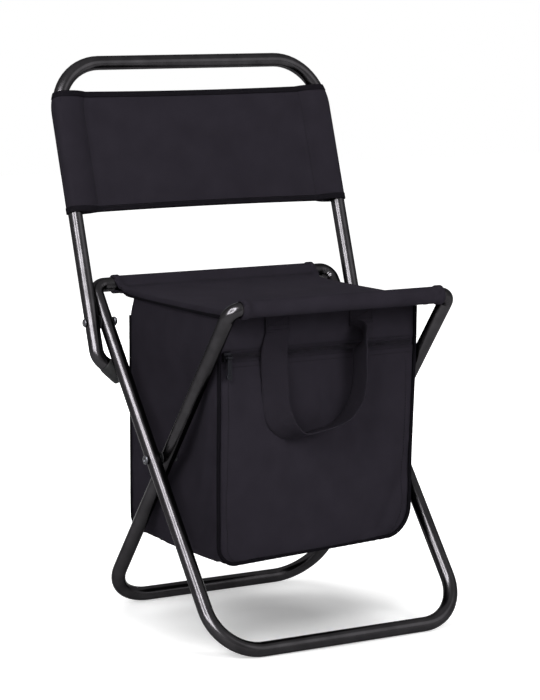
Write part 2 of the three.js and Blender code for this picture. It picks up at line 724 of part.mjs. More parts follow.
class HandlePath extends THREE.Curve {
  constructor() {
    super();
    const half = handleSpacing / 2;
    const edgeOn = strapWidth / 2;
    const top = handleHinge - touchGap / 2;
    // Place across as a share of the half spacing, share of the drop, turn of the strap in degrees, and
    // how far its inner edge stands off the bag: clear of the slider's way down to the puller's knob
    const run = [
      [-1.06, 0.21, 14, handleStandoff],
      [-1.12, 0.48, 22, handleStandoff],
      [-1.08, 0.77, 36, handleRestGap],
      [-0.9, 0.96, 62, handleRestGap],
      [-0.52, 1, 84, handleRestGap],
      [0, 0.96, 90, handleRestGap],
      [0.46, 0.88, 90, handleRestGap],
      [0.76, 0.7, 88, handleRestGap],
      [0.88, 0.48, 84, handleStandoff],
      [0.94, 0.21, 40, handleStandoff],
    ];
    const stop = ([across, drop, turn, gap]) => {
      const away = gap + edgeOn * Math.sin(turn * degree);
      return { at: new THREE.Vector3(across * half, bagFront - away, top - drop * handleDrop), turn };
    };
    const end = (side, drop) => (
      { at: new THREE.Vector3(side * half, strapMiddle, top - drop), turn: 0 }
    );
    this.stops = [end(-1, 0), end(-1, handleStraight), ...run.map(stop), end(1, handleStraight), end(1, 0)];
    this.line = new THREE.CatmullRomCurve3(this.stops.map((s) => s.at), false, 'centripetal');
  }

  getPointAt(u) {
    return this.line.getPoint(u);
  }

  turnAt(u) {
    const place = u * (this.stops.length - 1);
    const before = Math.min(Math.floor(place), this.stops.length - 2);
    const turns = [this.stops[before].turn, this.stops[before + 1].turn];
    return THREE.MathUtils.lerp(turns[0], turns[1], place - before) * degree;
  }

  computeFrenetFrames(steps) {
    const tangents = Array.from({ length: steps + 1 }, (unused, i) => this.line.getTangent(i / steps));
    tangents[0].copy(axisZ).negate();
    tangents[steps].copy(axisZ);
    const binormals = tangents.map((tangent, i) => {
      const across = new THREE.Vector3().crossVectors(axisY, tangent).normalize();
      const outwards = new THREE.Vector3().crossVectors(tangent, across);
      const turn = this.turnAt(i / steps);
      return across.multiplyScalar(Math.cos(turn)).addScaledVector(outwards, Math.sin(turn));
    });
    const normals = tangents.map((tangent, i) => new THREE.Vector3().crossVectors(binormals[i], tangent));
    return { tangents, normals, binormals };
  }
}

function carryHandle() {
  const halfThick = strapThickness / 2;
  const halfWide = strapWidth / 2;
  const section = new THREE.Shape([
    new THREE.Vector2(-halfThick, -halfWide),
    new THREE.Vector2(halfThick, -halfWide),
    new THREE.Vector2(halfThick, halfWide),
    new THREE.Vector2(-halfThick, halfWide),
  ]);
  return new THREE.ExtrudeGeometry(section, { steps: handleSteps, extrudePath: new HandlePath() });
}
addPiece('carry_handle', carryHandle(), webbing());

// The stool's origin is on the floor, in the middle of its width and depth
const bounds = new THREE.Box3().setFromObject(stool, true);
stool.position.y = -(bounds.min.y + bounds.max.y) / 2;

export default stool;
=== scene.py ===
import json
import math

import bmesh
import bpy
import numpy as np
from mathutils import Matrix, Vector, noise


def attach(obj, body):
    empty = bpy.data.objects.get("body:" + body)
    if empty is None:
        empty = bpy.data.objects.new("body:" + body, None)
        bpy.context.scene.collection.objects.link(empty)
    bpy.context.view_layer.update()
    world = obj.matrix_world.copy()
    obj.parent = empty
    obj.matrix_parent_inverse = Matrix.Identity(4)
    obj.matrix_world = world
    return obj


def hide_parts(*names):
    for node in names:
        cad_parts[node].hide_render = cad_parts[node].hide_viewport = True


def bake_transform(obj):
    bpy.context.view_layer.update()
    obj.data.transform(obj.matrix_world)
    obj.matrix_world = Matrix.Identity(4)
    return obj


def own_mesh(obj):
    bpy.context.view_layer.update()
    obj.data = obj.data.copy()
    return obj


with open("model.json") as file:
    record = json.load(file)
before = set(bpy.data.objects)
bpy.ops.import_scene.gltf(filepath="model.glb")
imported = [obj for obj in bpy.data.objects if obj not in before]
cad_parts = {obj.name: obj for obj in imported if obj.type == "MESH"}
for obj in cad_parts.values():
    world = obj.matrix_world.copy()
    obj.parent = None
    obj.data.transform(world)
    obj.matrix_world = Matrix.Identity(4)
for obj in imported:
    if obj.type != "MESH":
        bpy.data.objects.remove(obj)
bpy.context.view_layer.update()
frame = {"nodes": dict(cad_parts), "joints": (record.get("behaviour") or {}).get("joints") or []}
print("frame loaded:", len(frame["nodes"]), "nodes")

scene = bpy.context.scene
scene.view_settings.view_transform = "Standard"
joints = {joint["name"]: joint for joint in frame["joints"]}
crossing = Vector(joints["fold"]["pos_m"])  # the leg crossing: the part's own y is measured from it
xWay, yWay = Vector((1, 0, 0)), Vector((0, 1, 0))
bothSides = (("left", -1), ("right", 1))


def spot(x, y, z):
    return Vector((x, y + crossing.y, z))


def smoothStep(low, high, value):
    share = min(1.0, max(0.0, (value - low) / (high - low)))
    return share * share * (3 - 2 * share)


def evenly(low, high, count):
    return [low + (high - low) * i / count for i in range(count + 1)]


def smoothed(mesh):
    mesh.polygons.foreach_set("use_smooth", [True] * len(mesh.polygons))
    return mesh


# Meshes from rows of points, with a UV map in metres for the weave
def gridMesh(name, rows, wrapAcross=False, wrapAlong=False, flip=False):
    points = np.array([[tuple(p) for p in row] for row in rows], float)
    rowCount, columnCount = points.shape[:2]
    runs = []
    for way in (1, 0):
        lengths = np.linalg.norm(np.roll(points, -1, axis=way) - points, axis=2)
        runs.append(np.concatenate([[0], np.cumsum(lengths.mean(axis=1 - way))]))
    across, along = runs
    faces, corners = [], []
    for r in range(rowCount if wrapAlong else rowCount - 1):
        for c in range(columnCount if wrapAcross else columnCount - 1):
            ring = [(r, c), (r, c + 1), (r + 1, c + 1), (r + 1, c)]
            if flip:
                ring.reverse()
            faces.append([(i % rowCount) * columnCount + j % columnCount for i, j in ring])
            corners += [(across[j], along[i]) for i, j in ring]
    mesh = bpy.data.meshes.new(name)
    mesh.from_pydata([Vector(p) for p in points.reshape(-1, 3)], [], faces)
    layer = mesh.uv_layers.new(name="clothUV")
    layer.data.foreach_set("uv", np.array(corners, np.float32).ravel())
    return smoothed(mesh)


def shapeOf(mesh):
    shape = bmesh.new()
    shape.from_mesh(mesh)
    return shape


def fromShape(shape, mesh):
    shape.to_mesh(mesh)
    shape.free()
    return mesh


def closeEnds(mesh):
    shape = shapeOf(mesh)
    capped = bmesh.ops.holes_fill(shape, edges=[e for e in shape.edges if e.is_boundary], sides=0)
    for face in capped["faces"]:
        face.smooth = False
        for edge in face.edges:
            edge.smooth = False
    bmesh.ops.recalc_face_normals(shape, faces=shape.faces)
    return fromShape(shape, mesh)


def ringMesh(name, rings):
    return closeEnds(gridMesh(name, rings, wrapAcross=True))


# Unit ways round a circle that starts at one way and turns towards another
def circleWays(first, second, count):
    angles = [2 * math.pi * k / count for k in range(count)]
    return [first * math.cos(angle) + second * math.sin(angle) for angle in angles]


def addPiece(name, mesh, finish, thickness=0.0):
    piece = bpy.data.objects.new(name, mesh)
    scene.collection.objects.link(piece)
    mesh.materials.append(finishes[finish])
    if thickness:
        wall = piece.modifiers.new("wall", "SOLIDIFY")
        wall.thickness, wall.offset = thickness, -1
    return piece


def settle(piece, body, slot, *nodes):
    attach(piece, body)
    if nodes:
        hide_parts(*nodes)
    return piece


def newPiece(name, mesh, finish, body, slot, *nodes, thickness=0.0):
    return settle(addPiece(name, mesh, finish, thickness), body, slot, *nodes)


# Node building: each input is a value or another node's output
def addNode(tree, kind, inputs, **settings):
    node = tree.nodes.new(kind)
    for setting, value in settings.items():
        setattr(node, setting, value)
    for socket, value in inputs.items():
        if isinstance(value, bpy.types.NodeSocket):
            tree.links.new(value, node.inputs[socket])
        else:
            node.inputs[socket].default_value = value
    return node.outputs


def newMaterial(name):
    material = bpy.data.materials.new(name)
    material.use_nodes = True
    material.node_tree.nodes.clear()
    return material, material.node_tree


def mainShader(tree, inputs):
    shader = addNode(tree, "ShaderNodeBsdfPrincipled", inputs)
    addNode(tree, "ShaderNodeOutputMaterial", {"Surface": shader["BSDF"]})


def objectPlace(tree):
    return addNode(tree, "ShaderNodeTexCoord", {})["Object"]


def scaledPlace(tree, place, scale):
    return addNode(tree, "ShaderNodeMapping", {"Vector": place, "Scale": scale})["Vector"]


def noiseTexture(tree, place, scale, detail=2.0, stretch=None):
    if stretch:
        place = scaledPlace(tree, place, stretch)
    return addNode(tree, "ShaderNodeTexNoise", {"Vector": place, "Scale": scale, "Detail": detail})["Fac"]


def ramp(tree, fac, stops):
    node = tree.nodes.new("ShaderNodeValToRGB")
    while len(node.color_ramp.elements) < len(stops):
        node.color_ramp.elements.new(0.5)
    for element, (place, colour) in zip(node.color_ramp.elements, stops):
        element.position = place
        element.color = (*colour, 1)
    tree.links.new(fac, node.inputs["Fac"])
    return node.outputs["Color"]


def bump(tree, height, strength, distance, **under):
    inputs = {"Height": height, "Strength": strength, "Distance": distance, **under}
    return addNode(tree, "ShaderNodeBump", inputs)["Normal"]


def mathNode(tree, operation, *values):
    return addNode(tree, "ShaderNodeMath", dict(enumerate(values)), operation=operation)["Value"]


def spread(colour, share):
    return [tuple(c * (1 - share) for c in colour), tuple(c * (1 + share) for c in colour)]


# Woven cloth: threads over and under along the piece's own UV map, a little uneven in shade
weaving = {"ribPitch": 3.2, "bands": 20, "turn": 6.28, "wander": 0.4, "cloud": (34, 4), "uneven": 0.14,
           "weaveShade": 0.3, "slub": 420, "slubBump": (0.25, 0.0004), "weaveBump": (0.35, 0.00025)}


def clothFinish(name, colour, thread, roughness, gloss=0.004, ribs=False):
    material, tree = newMaterial(name)
    uv = addNode(tree, "ShaderNodeUVMap", {}, uv_map="clothUV")["UV"]
    place = objectPlace(tree)
    waves = []
    for direction in ("X", "Y"):
        pitch = thread * weaving["ribPitch"] if ribs and direction == "X" else thread
        inputs = {"Vector": scaledPlace(tree, uv, (weaving["turn"],) * 3), "Scale": 1 / pitch / weaving["bands"],
                  "Distortion": weaving["wander"], "Detail": 1}
        waves.append(addNode(tree, "ShaderNodeTexWave", inputs, bands_direction=direction)["Fac"])
    weave = mathNode(tree, "MULTIPLY", *waves)
    cloud = noiseTexture(tree, place, *weaving["cloud"])
    cloud = mathNode(tree, "MULTIPLY_ADD", weave, weaving["weaveShade"], cloud)
    slub = bump(tree, noiseTexture(tree, place, weaving["slub"]), *weaving["slubBump"])
    dark, light = spread(colour, weaving["uneven"])
    mainShader(tree, {"Base Color": ramp(tree, cloud, [(0.2, dark), (1.0, light)]),
                      "Normal": bump(tree, weave, *weaving["weaveBump"], Normal=slub),
                      "Roughness": roughness, "Specular IOR Level": gloss})
    return material


# Hard surfaces: glossy paint with a faint orange peel and dark edges, finely scratched steel, and grained plastic
surfaces = {
    "paint": {"uneven": 0.2, "shade": (60, 3), "shine": (45, 4), "shineSpread": (0.93, 1.08), "grain": 700,
              "bump": 0.018, "depth": 0.0002, "own": {"Metallic": 1, "Specular Tint": (0.45, 0.45, 0.45, 1)}},
    "steel": {"uneven": 0.12, "shade": (400, 4), "shine": (900, 3, (1, 6, 6)), "shineSpread": (0.7, 1.4),
              "grain": 1500, "bump": 0.1, "depth": 0.0001, "own": {"Metallic": 1}},
    "plastic": {"uneven": 0.12, "shade": (120, 3), "shine": None, "bump": 0.3},
}


def hardFinish(name, kind, colour, roughness, grain=None, depth=None, gloss=None):
    look = dict(surfaces[kind])
    if grain:
        look.update({"grain": grain, "depth": depth, "own": {"Specular IOR Level": gloss}})
    material, tree = newMaterial(name)
    place = objectPlace(tree)
    if look["shine"]:
        low, high = ((roughness * share,) * 3 for share in look["shineSpread"])
        roughness = ramp(tree, noiseTexture(tree, place, *look["shine"]), [(0.3, low), (0.7, high)])
    dark, light = spread(colour, look["uneven"])
    shade = ramp(tree, noiseTexture(tree, place, *look["shade"]), [(0.3, dark), (0.7, light)])
    peel = bump(tree, noiseTexture(tree, place, look["grain"]), look["bump"], look["depth"])
    mainShader(tree, {"Base Color": shade, "Roughness": roughness, "Normal": peel, **look["own"]})
    return material


finishes = {
    "paint": hardFinish("blackTubePaint", "paint", (0.0240, 0.0229, 0.0245), 0.23),
    "steel": hardFinish("brightSteel", "steel", (0.60, 0.61, 0.63), 0.28),
    "blackSteel": hardFinish("blackSteel", "steel", (0.036, 0.036, 0.040), 0.42),
    "zipMetal": hardFinish("zipMetal", "steel", (0.010, 0.010, 0.012), 0.40),
    "capPlastic": hardFinish("capPlastic", "plastic", (0.034, 0.034, 0.035), 0.52, 900, 0.0002, 0.03),
    "washerPlastic": hardFinish("washerPlastic", "plastic", (0.012, 0.012, 0.013), 0.5, 700, 0.0002, 0.03),
    "cloth": clothFinish("charcoalCloth", (0.0240, 0.0212, 0.0281), 0.00055, 0.75, gloss=0.002),
    # Near-black trim for the piping and the seat's side bindings; on the bindings the dark also stands in as painted
    # shade in the seam groove under the seat's edge
    "trimAndShade": clothFinish("darkTrimAndSeamShade", (0.0058, 0.0052, 0.0070), 0.0007, 0.8),
    "hemCloth": clothFinish("hemCloth", (0.0095, 0.0085, 0.0112), 0.0006, 0.78),
    "zipCloth": clothFinish("zipCloth", (0.0225, 0.0200, 0.0264), 0.0005, 0.8),
    "webbing": clothFinish("ribbedWebbing", (0.0205, 0.0181, 0.0239), 0.0008, 0.75, ribs=True),
    "thread": hardFinish("sewingThread", "plastic", (0.014, 0.013, 0.016), 0.6, 1200, 0.0001, 0.01),
    "zipTeeth": hardFinish("zipTeeth", "plastic", (0.0270, 0.0242, 0.0312), 0.5, 800, 0.0001, 0.01),
    "foam": hardFinish("whiteFoam", "plastic", (0.72, 0.72, 0.69), 0.85, 500, 0.0006, 0.3),
    "film": hardFinish("linerFilm", "plastic", (0.55, 0.57, 0.60), 0.3, 60, 0.0015, 0.3),
}
print("finishes ready:", len(finishes))

# Bent tube: round bends joined by straight runs, swept in the plane that the route lies in
tube = {"radius": 0.008, "sides": 28, "seatBend": 0.013, "floorBend": 0.052, "bendSteps": 14,
        "crimps": 5, "crimpDepth": 0.10, "crimpReach": 0.35, "crimpBelow": 0.02}


def bentRoute(corners, closed):
    stations = []
    count = len(corners)
    for i, (place, radius) in enumerate(corners):
        before = corners[i - 1][0] if closed or i else None
        after = corners[(i + 1) % count][0] if closed or i < count - 1 else None
        inward = (place - before).normalized() if before else None
        outward = (after - place).normalized() if after else None
        if not (inward and outward):
            stations.append((place.copy(), (inward or outward).copy(), None))
            continue
        turn = inward.angle(outward)
        axis = inward.cross(outward).normalized()
        start = place - inward * radius * math.tan(turn / 2)
        toCentre = axis.cross(inward) * radius
        for step in range(tube["bendSteps"] + 1):
            spin = Matrix.Rotation(turn * step / tube["bendSteps"], 3, axis)
            arm = spin @ -toCentre
            crimp = (step / tube["bendSteps"], -arm.normalized()) if radius < tube["crimpBelow"] else None
            stations.append((start + toCentre + arm, spin @ inward, crimp))
    return stations


# Tight bends are crimped on their inside
def sweptTube(name, stations, planeNormal, closed, radius=tube["radius"], sides=tube["sides"]):
    rings = []
    for place, along, crimp in stations:
        side = planeNormal.cross(along).normalized()
        ring = []
        for out in circleWays(side, planeNormal, sides):
            reach = radius
            if crimp:
                wave = 0.5 - 0.5 * math.cos(2 * math.pi * tube["crimps"] * crimp[0])
                reach *= 1 - tube["crimpDepth"] * wave * max(0.0, out.dot(crimp[1]) + tube["crimpReach"])
            ring.append(place + out * reach)
        rings.append(ring)
    return closeEnds(gridMesh(name, rings, wrapAcross=True, wrapAlong=closed))


legs = {"outerHalf": 0.154, "step": 0.0176, "seatHeight": 0.366, "seatReach": 0.134, "floorReach": 0.142}
innerHalf = legs["outerHalf"] - legs["step"]


def legLoop(name, halfWidth, seatY, floorY):
    seatCorners = [spot(x, seatY, legs["seatHeight"]) for x in (halfWidth, -halfWidth)]
    floorCorners = [spot(x, floorY, tube["radius"]) for x in (halfWidth, -halfWidth)]
    corners = [(seatCorners[0], tube["seatBend"])]
    corners += [(corner, tube["floorBend"]) for corner in floorCorners]
    corners += [(seatCorners[1], tube["seatBend"])]
    leg = (floorCorners[0] - seatCorners[0]).normalized()
    return sweptTube(name, bentRoute(corners, True), xWay.cross(leg).normalized(), True)


for label, halfWidth, way in (("outer", legs["outerHalf"], 1), ("inner", innerHalf, -1)):
    name, body = label + "LegLoop", label + "_frame"
    mesh = legLoop(name, halfWidth, way * legs["seatReach"], -way * legs["floorReach"])
    newPiece(name, mesh, "paint", body, "painted_tube", body + "_tube")
    ferruleFinishes = frame["nodes"][body + "_ferrule"].data.materials
    ferruleFinishes.clear()
    ferruleFinishes.append(finishes["steel"])
print("leg loops made")

# Backrest frame: x across, lift up along the tube from its pivot, back square to both
backrest = {"lean": math.radians(17.7), "length": 0.293, "bend": 0.057, "hookBend": 0.020,
            "hookTurn": math.radians(45), "hookReach": 0.024, "hookDrop": 0.038433}
pivot = Vector(joints["backrest_fold"]["pos_m"])
backHalf = legs["outerHalf"] + legs["step"]
liftWay = Vector((0, math.sin(backrest["lean"]), math.cos(backrest["lean"])))
rearWay = Vector((0, math.cos(backrest["lean"]), -math.sin(backrest["lean"])))


def onBackrest(x, lift, back=0.0):
    return pivot + Vector((x, 0, 0)) + liftWay * lift + rearWay * back


def hookTip(side):
    drop = -backrest["hookDrop"] - backrest["hookReach"] / math.tan(backrest["hookTurn"])
    return onBackrest(side * (backHalf - backrest["hookReach"]), drop)


def hookCorner(side):
    return onBackrest(side * backHalf, -backrest["hookDrop"])


hoopCorners = [(hookTip(-1), 0.0), (hookCorner(-1), backrest["hookBend"])]
hoopCorners += [(onBackrest(side * backHalf, backrest["length"]), backrest["bend"]) for side in (-1, 1)]
hoopCorners += [(hookCorner(1), backrest["hookBend"]), (hookTip(1), 0.0)]
hoopMesh = sweptTube("backrestHoop", bentRoute(hoopCorners, False), rearWay, False)
newPiece("backrestHoop", hoopMesh, "paint", "backrest", "painted_tube", "backrest_tube")


# Turned pieces: profile points are (radius, height along the axis)
def turnedMesh(name, profile, steps=32, origin=Vector((0, 0, 0)), axis=xWay):
    across = axis.orthogonal().normalized()
    ways = circleWays(across, axis.cross(across), steps)
    rings = [[origin + axis * height + out * max(radius, 1e-6) for out in ways] for radius, height in profile]
    mesh = gridMesh(name, rings, wrapAcross=True)
    shape = shapeOf(mesh)
    bmesh.ops.remove_doubles(shape, verts=shape.verts, dist=5e-6)
    bmesh.ops.recalc_face_normals(shape, faces=shape.faces)
    return fromShape(shape, mesh)


def arcPoints(centreRadius, centreHeight, size, fromAngle, toAngle, steps=5):
    turns = [math.radians(angle) for angle in evenly(fromAngle, toAngle, steps)]
    return [(centreRadius + size * math.cos(a), centreHeight + size * math.sin(a)) for a in turns]


# Plastic caps on the bent ends: the mouth is measured from the open end, the crown from the closed one
cap = {"length": 0.024, "end": 0.0023, "edge": 0.00662, "round": 0.0028, "steps": 40,
       "mouth": ((0.0, 0.004), (0.0081, 0.004), (0.0081, 0.0004), (0.0083, 0.0), (0.0088, 0.0012),
                 (0.0092, 0.0035), (0.00942, 0.010)),
       "crown": ((0.003, 0.0002), (0.0, 0.0003))}
capProfile = [(radius, cap["end"] - cap["length"] + height) for radius, height in cap["mouth"]]
capProfile += arcPoints(cap["edge"], cap["end"] - cap["round"], cap["round"], 0, 90)
capProfile += [(radius, cap["end"] + height) for radius, height in cap["crown"]]
for label, side in bothSides:
    name, tip = "hookCap_" + label, hookTip(side)
    mesh = turnedMesh(name, capProfile, cap["steps"], tip, (tip - hookCorner(side)).normalized())
    newPiece(name, mesh, "capPlastic", "backrest", "black_plastic", "backrest_end_cap_" + label)
print("backrest hoop and caps made")


# Geometry Nodes: one shape repeated on points, or along a path at a set spacing
def repeatTree(name, alongPath):
    tree = bpy.data.node_groups.new(name, "GeometryNodeTree")
    keys = {}
    kinds = {"Geometry": "Geometry", "Shape": "Object", "Finish": "Material", "Spacing": "Float"}
    for label, kind in kinds.items():
        socket = tree.interface.new_socket(label, in_out="INPUT", socket_type="NodeSocket" + kind)
        keys[label] = socket.identifier
    tree.interface.new_socket("Geometry", in_out="OUTPUT", socket_type="NodeSocketGeometry")
    start = addNode(tree, "NodeGroupInput", {})
    points = start["Geometry"]
    if alongPath:
        curve = addNode(tree, "GeometryNodeMeshToCurve", {"Mesh": points})["Curve"]
        inputs = {"Curve": curve, "Length": start["Spacing"]}
        points = addNode(tree, "GeometryNodeResampleCurve", inputs, mode="LENGTH")["Curve"]
        way = addNode(tree, "GeometryNodeInputTangent", {})["Tangent"]
    else:
        facing = addNode(tree, "GeometryNodeInputNamedAttribute", {"Name": "facing"}, data_type="FLOAT_VECTOR")
        way = facing["Attribute"]
    turn = addNode(tree, "FunctionNodeAlignRotationToVector", {"Vector": way}, axis="X")["Rotation"]
    shape = addNode(tree, "GeometryNodeObjectInfo", {"Object": start["Shape"]})["Geometry"]
    inputs = {"Points": points, "Instance": shape, "Rotation": turn}
    copies = addNode(tree, "GeometryNodeInstanceOnPoints", inputs)["Instances"]
    real = addNode(tree, "GeometryNodeRealizeInstances", {"Geometry": copies})["Geometry"]
    painted = addNode(tree, "GeometryNodeSetMaterial", {"Geometry": real, "Material": start["Finish"]})["Geometry"]
    addNode(tree, "NodeGroupOutput", {"Geometry": painted})
    return tree, keys


spotTree = repeatTree("shapeOnSpots", False)
seamTree = repeatTree("shapeAlongSeam", True)


def bakedRepeat(name, points, edges, shapeMesh, finish, facings=None, spacing=0.003):
    base = bpy.data.meshes.new(name + "Points")
    base.from_pydata(points, edges, [])
    if facings:
        attribute = base.attributes.new("facing", "FLOAT_VECTOR", "POINT")
        attribute.data.foreach_set("vector", [c for facing in facings for c in facing])
    carrier = bpy.data.objects.new(name + "Points", base)
    shape = bpy.data.objects.new(name + "Shape", shapeMesh)
    for helper in (carrier, shape):
        scene.collection.objects.link(helper)
    repeat = carrier.modifiers.new("repeat", "NODES")
    repeat.node_group, keys = spotTree if facings else seamTree
    for label, value in (("Shape", shape), ("Finish", finishes[finish]), ("Spacing", spacing)):
        repeat[keys[label]] = value
    bpy.context.view_layer.update()
    baked = bpy.data.meshes.new_from_object(carrier.evaluated_get(bpy.context.evaluated_depsgraph_get()))
    baked.name = name
    for helper in (carrier, shape):
        bpy.data.objects.remove(helper)
    piece = bpy.data.objects.new(name, smoothed(baked))
    scene.collection.objects.link(piece)
    if not baked.materials:
        baked.materials.append(finishes[finish])
    return piece


# Rivets at the leg crossings and bolts at the backrest, each pair from one turned shape that points along +X
fastener = {"pin": 0.003, "seat": 0.0085, "rivetHead": 0.005, "rivetHeight": 0.0024, "rivetRound": 0.0014,
            "rivetTail": ((0.0, 0.0012), (0.0042, 0.0012), (0.0048, 0.0004), (0.0048, 0.0)),
            "lip": (0.0027, 0.0006, 0.0005), "dimple": ((0.0020, 0.0012), (0.0, 0.0013)), "boltHead": 0.0045,
            "boltRim": 0.0007, "boltDome": 0.0017, "boltTip": ((0.0, 0.0008), (0.0024, 0.0008), (0.003, 0.0002)),
            "nutHeight": 0.0034, "nut": ((0.00335, 0.0), (0.0044, 0.0), (0.0052, 0.0005), (0.0052, 0.0029),
                                         (0.0044, 0.0034), (0.00335, 0.0034), (0.00335, 0.0)),
            "washer": 0.0075, "washerHole": 0.0033, "washerHalf": 0.0005, "washerRound": 0.0003}
under = -fastener["seat"]
over = legs["step"] + fastener["seat"]
pin, rivetTop, rivetRound = fastener["pin"], over + fastener["rivetHeight"], fastener["rivetRound"]
rivetProfile = [(radius, under - height) for radius, height in fastener["rivetTail"]]
rivetProfile += [(pin, under), (pin, over), (fastener["rivetHead"], over)]
rivetProfile += arcPoints(fastener["rivetHead"] - rivetRound, rivetTop - rivetRound, rivetRound, 0, 90, 6)
lipRadius, lipDrop, lipRound = fastener["lip"]
rivetProfile += arcPoints(lipRadius, rivetTop - lipDrop, lipRound, 90, 180, 4)
rivetProfile += [(radius, rivetTop - depth) for radius, depth in fastener["dimple"]]
boltProfile = [(radius, under - fastener["nutHeight"] - height) for radius, height in fastener["boltTip"]]
boltProfile += [(pin, over), (fastener["boltHead"], over)]
for angle in evenly(0, math.pi / 2, 8):
    height = over + fastener["boltRim"] + fastener["boltDome"] * math.sin(angle)
    boltProfile.append((fastener["boltHead"] * math.cos(angle), height))
thick, hole, rim = fastener["washerHalf"], fastener["washerHole"], fastener["washer"]
flat = rim - fastener["washerRound"]
washerProfile = [(hole, -thick), (flat, -thick), (rim, 0.0), (flat, thick), (hole, thick), (hole, -thick)]
rivetMesh, boltMesh = turnedMesh("rivetShape", rivetProfile), turnedMesh("boltShape", boltProfile)
nutMesh = turnedMesh("nutShape", fastener["nut"], 6)
for polygon in nutMesh.polygons:
    polygon.use_smooth = False
washerMesh = turnedMesh("washerShape", washerProfile)
washerOut, nutOut = legs["step"] / 2, -fastener["seat"] - fastener["nutHeight"]
outerHalf = legs["outerHalf"]
steel, plastic = ("blackSteel", "black_steel"), ("washerPlastic", "black_plastic")
pairs = (
    ("legRivets", rivetMesh, steel, innerHalf, crossing, "leg_pivot_rivet"),
    ("legWashers", washerMesh, plastic, innerHalf + washerOut, crossing, "leg_pivot_washer"),
    ("backrestBolts", boltMesh, steel, outerHalf, pivot, "backrest_bolt"),
    ("backrestWashers", washerMesh, plastic, outerHalf + washerOut, pivot, "backrest_washer"),
    ("backrestNuts", nutMesh, steel, outerHalf + nutOut, pivot, "backrest_nut"),
)
for name, shapeMesh, (finish, slot), out, place, node in pairs:
    points = [Vector((side * out, place.y, place.z)) for side in (-1, 1)]
    piece = bakedRepeat(name, points, [], shapeMesh, finish, facings=[(-1, 0, 0), (1, 0, 0)])
    settle(piece, "outer_frame", slot, node + "_left", node + "_right")
print("fasteners made")

# Stitches: small thread capsules along a seam
stitch = {"length": 0.0022, "thread": 0.00034, "spacing": 0.0031, "proud": 0.0002,
          "capsule": ((0.0, -1), (0.75, -0.85), (1, -0.4), (1, 0.4), (0.75, 0.85), (0.0, 1))}


def sewnSeam(name, lines):
    capsule = [(stitch["thread"] * radius, stitch["length"] / 2 * along) for radius, along in stitch["capsule"]]
    points, edges = [], []
    for line in lines:
        edges += [(len(points) + i, len(points) + i + 1) for i in range(len(line) - 1)]
        points += line
    thread = turnedMesh("stitchShape", capsule, 6)
    return bakedRepeat(name, points, edges, thread, "thread", spacing=stitch["spacing"])


# Backrest panel: two layers of cloth that wrap round both uprights, sewn together beside them
backPanel = {"low": 0.123, "high": 0.260, "layer": 0.0012, "sleeve": 0.0092, "seamIn": 0.029, "pullIn": 0.018,
             "edgeIn": 0.0006, "hem": 0.0065, "hemProud": 0.0006, "hemSeam": 0.0015, "cloth": 0.0009,
             "hemCloth": 0.0006, "rows": 30, "hemRows": 4, "faceSteps": 18, "wrapSteps": 16, "dip": 2.6,
             "dipSteps": (0.05, 0.12, 0.2, 0.3, 0.42, 0.58, 0.78), "hemSeamSteps": 24, "sideSeamSteps": 20}


def uprightAt(lift):
    rise = max(0.0, lift - backrest["length"] + backrest["bend"])
    return backHalf - backrest["bend"] + math.sqrt(backrest["bend"] ** 2 - rise ** 2)


# The stretched cloth draws in a little between its sleeves
def onPanel(x, seam, lift, back):
    middle = (backPanel["low"] + backPanel["high"]) / 2
    pull = 1 - backPanel["pullIn"] * max(0.0, 1 - (x / seam) ** 2)
    return onBackrest(x, middle + (lift - middle) * pull, back)


def panelLoop(lift, grow):
    centre = uprightAt(lift)
    seam = centre - backPanel["seamIn"]
    layer, sleeve = backPanel["layer"] + grow, backPanel["sleeve"] + grow
    face = [(x, -layer) for x in evenly(0, seam, backPanel["faceSteps"])]
    for share in backPanel["dipSteps"]:
        dip = (sleeve - layer) * (1 - (1 - share) ** backPanel["dip"])
        face.append((seam + backPanel["seamIn"] * share, -layer - dip))
    wrap = []
    for i in range(backPanel["wrapSteps"] + 1):
        angle = math.pi * (i / backPanel["wrapSteps"] - 0.5)
        wrap.append((centre + sleeve * math.cos(angle), sleeve * math.sin(angle)))
    right = face + wrap + [(x, -back) for x, back in reversed(face)]
    left = [(-x, -back) for x, back in right[1:-1]]
    return [onPanel(x, seam, lift, back) for x, back in right + left]


def panelBand(name, low, high, rows, grow, finish, thickness):
    mesh = gridMesh(name, [panelLoop(lift, grow) for lift in evenly(low, high, rows - 1)], wrapAcross=True)
    return newPiece(name, mesh, finish, "backrest", "charcoal_cloth", thickness=thickness)


panelLow, panelHigh, edgeIn, hem = (backPanel[key] for key in ("low", "high", "edgeIn", "hem"))
panelCloth = panelBand("backrestPanel", panelLow + edgeIn, panelHigh - edgeIn, backPanel["rows"], 0.0, "cloth",
                       backPanel["cloth"])
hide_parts("backrest_panel")
for name, low in (("backrestHemLow", panelLow), ("backrestHemHigh", panelHigh - hem)):
    panelBand(name, low, low + hem, backPanel["hemRows"], backPanel["hemProud"], "hemCloth", backPanel["hemCloth"])

panelSeams = []
for face in (-1, 1):
    back = face * (backPanel["layer"] + backPanel["hemProud"] + stitch["proud"])
    for lift in (panelLow + hem - backPanel["hemSeam"], panelHigh - hem + backPanel["hemSeam"]):
        seam = uprightAt(lift) - backPanel["seamIn"]
        places = evenly(-seam, seam, backPanel["hemSeamSteps"])
        panelSeams.append([onPanel(x, seam, lift, back) for x in places])
for side in (-1, 1):
    for face in (-1, 1):
        back = face * (backPanel["layer"] + stitch["proud"])
        lifts = evenly(panelLow + hem, panelHigh - hem, backPanel["sideSeamSteps"])
        panelSeams.append([onBackrest(side * (uprightAt(lift) - backPanel["seamIn"]), lift, back) for lift in lifts])
settle(sewnSeam("backrestStitches", panelSeams), "backrest", "dark_trim")
print("backrest panel made")


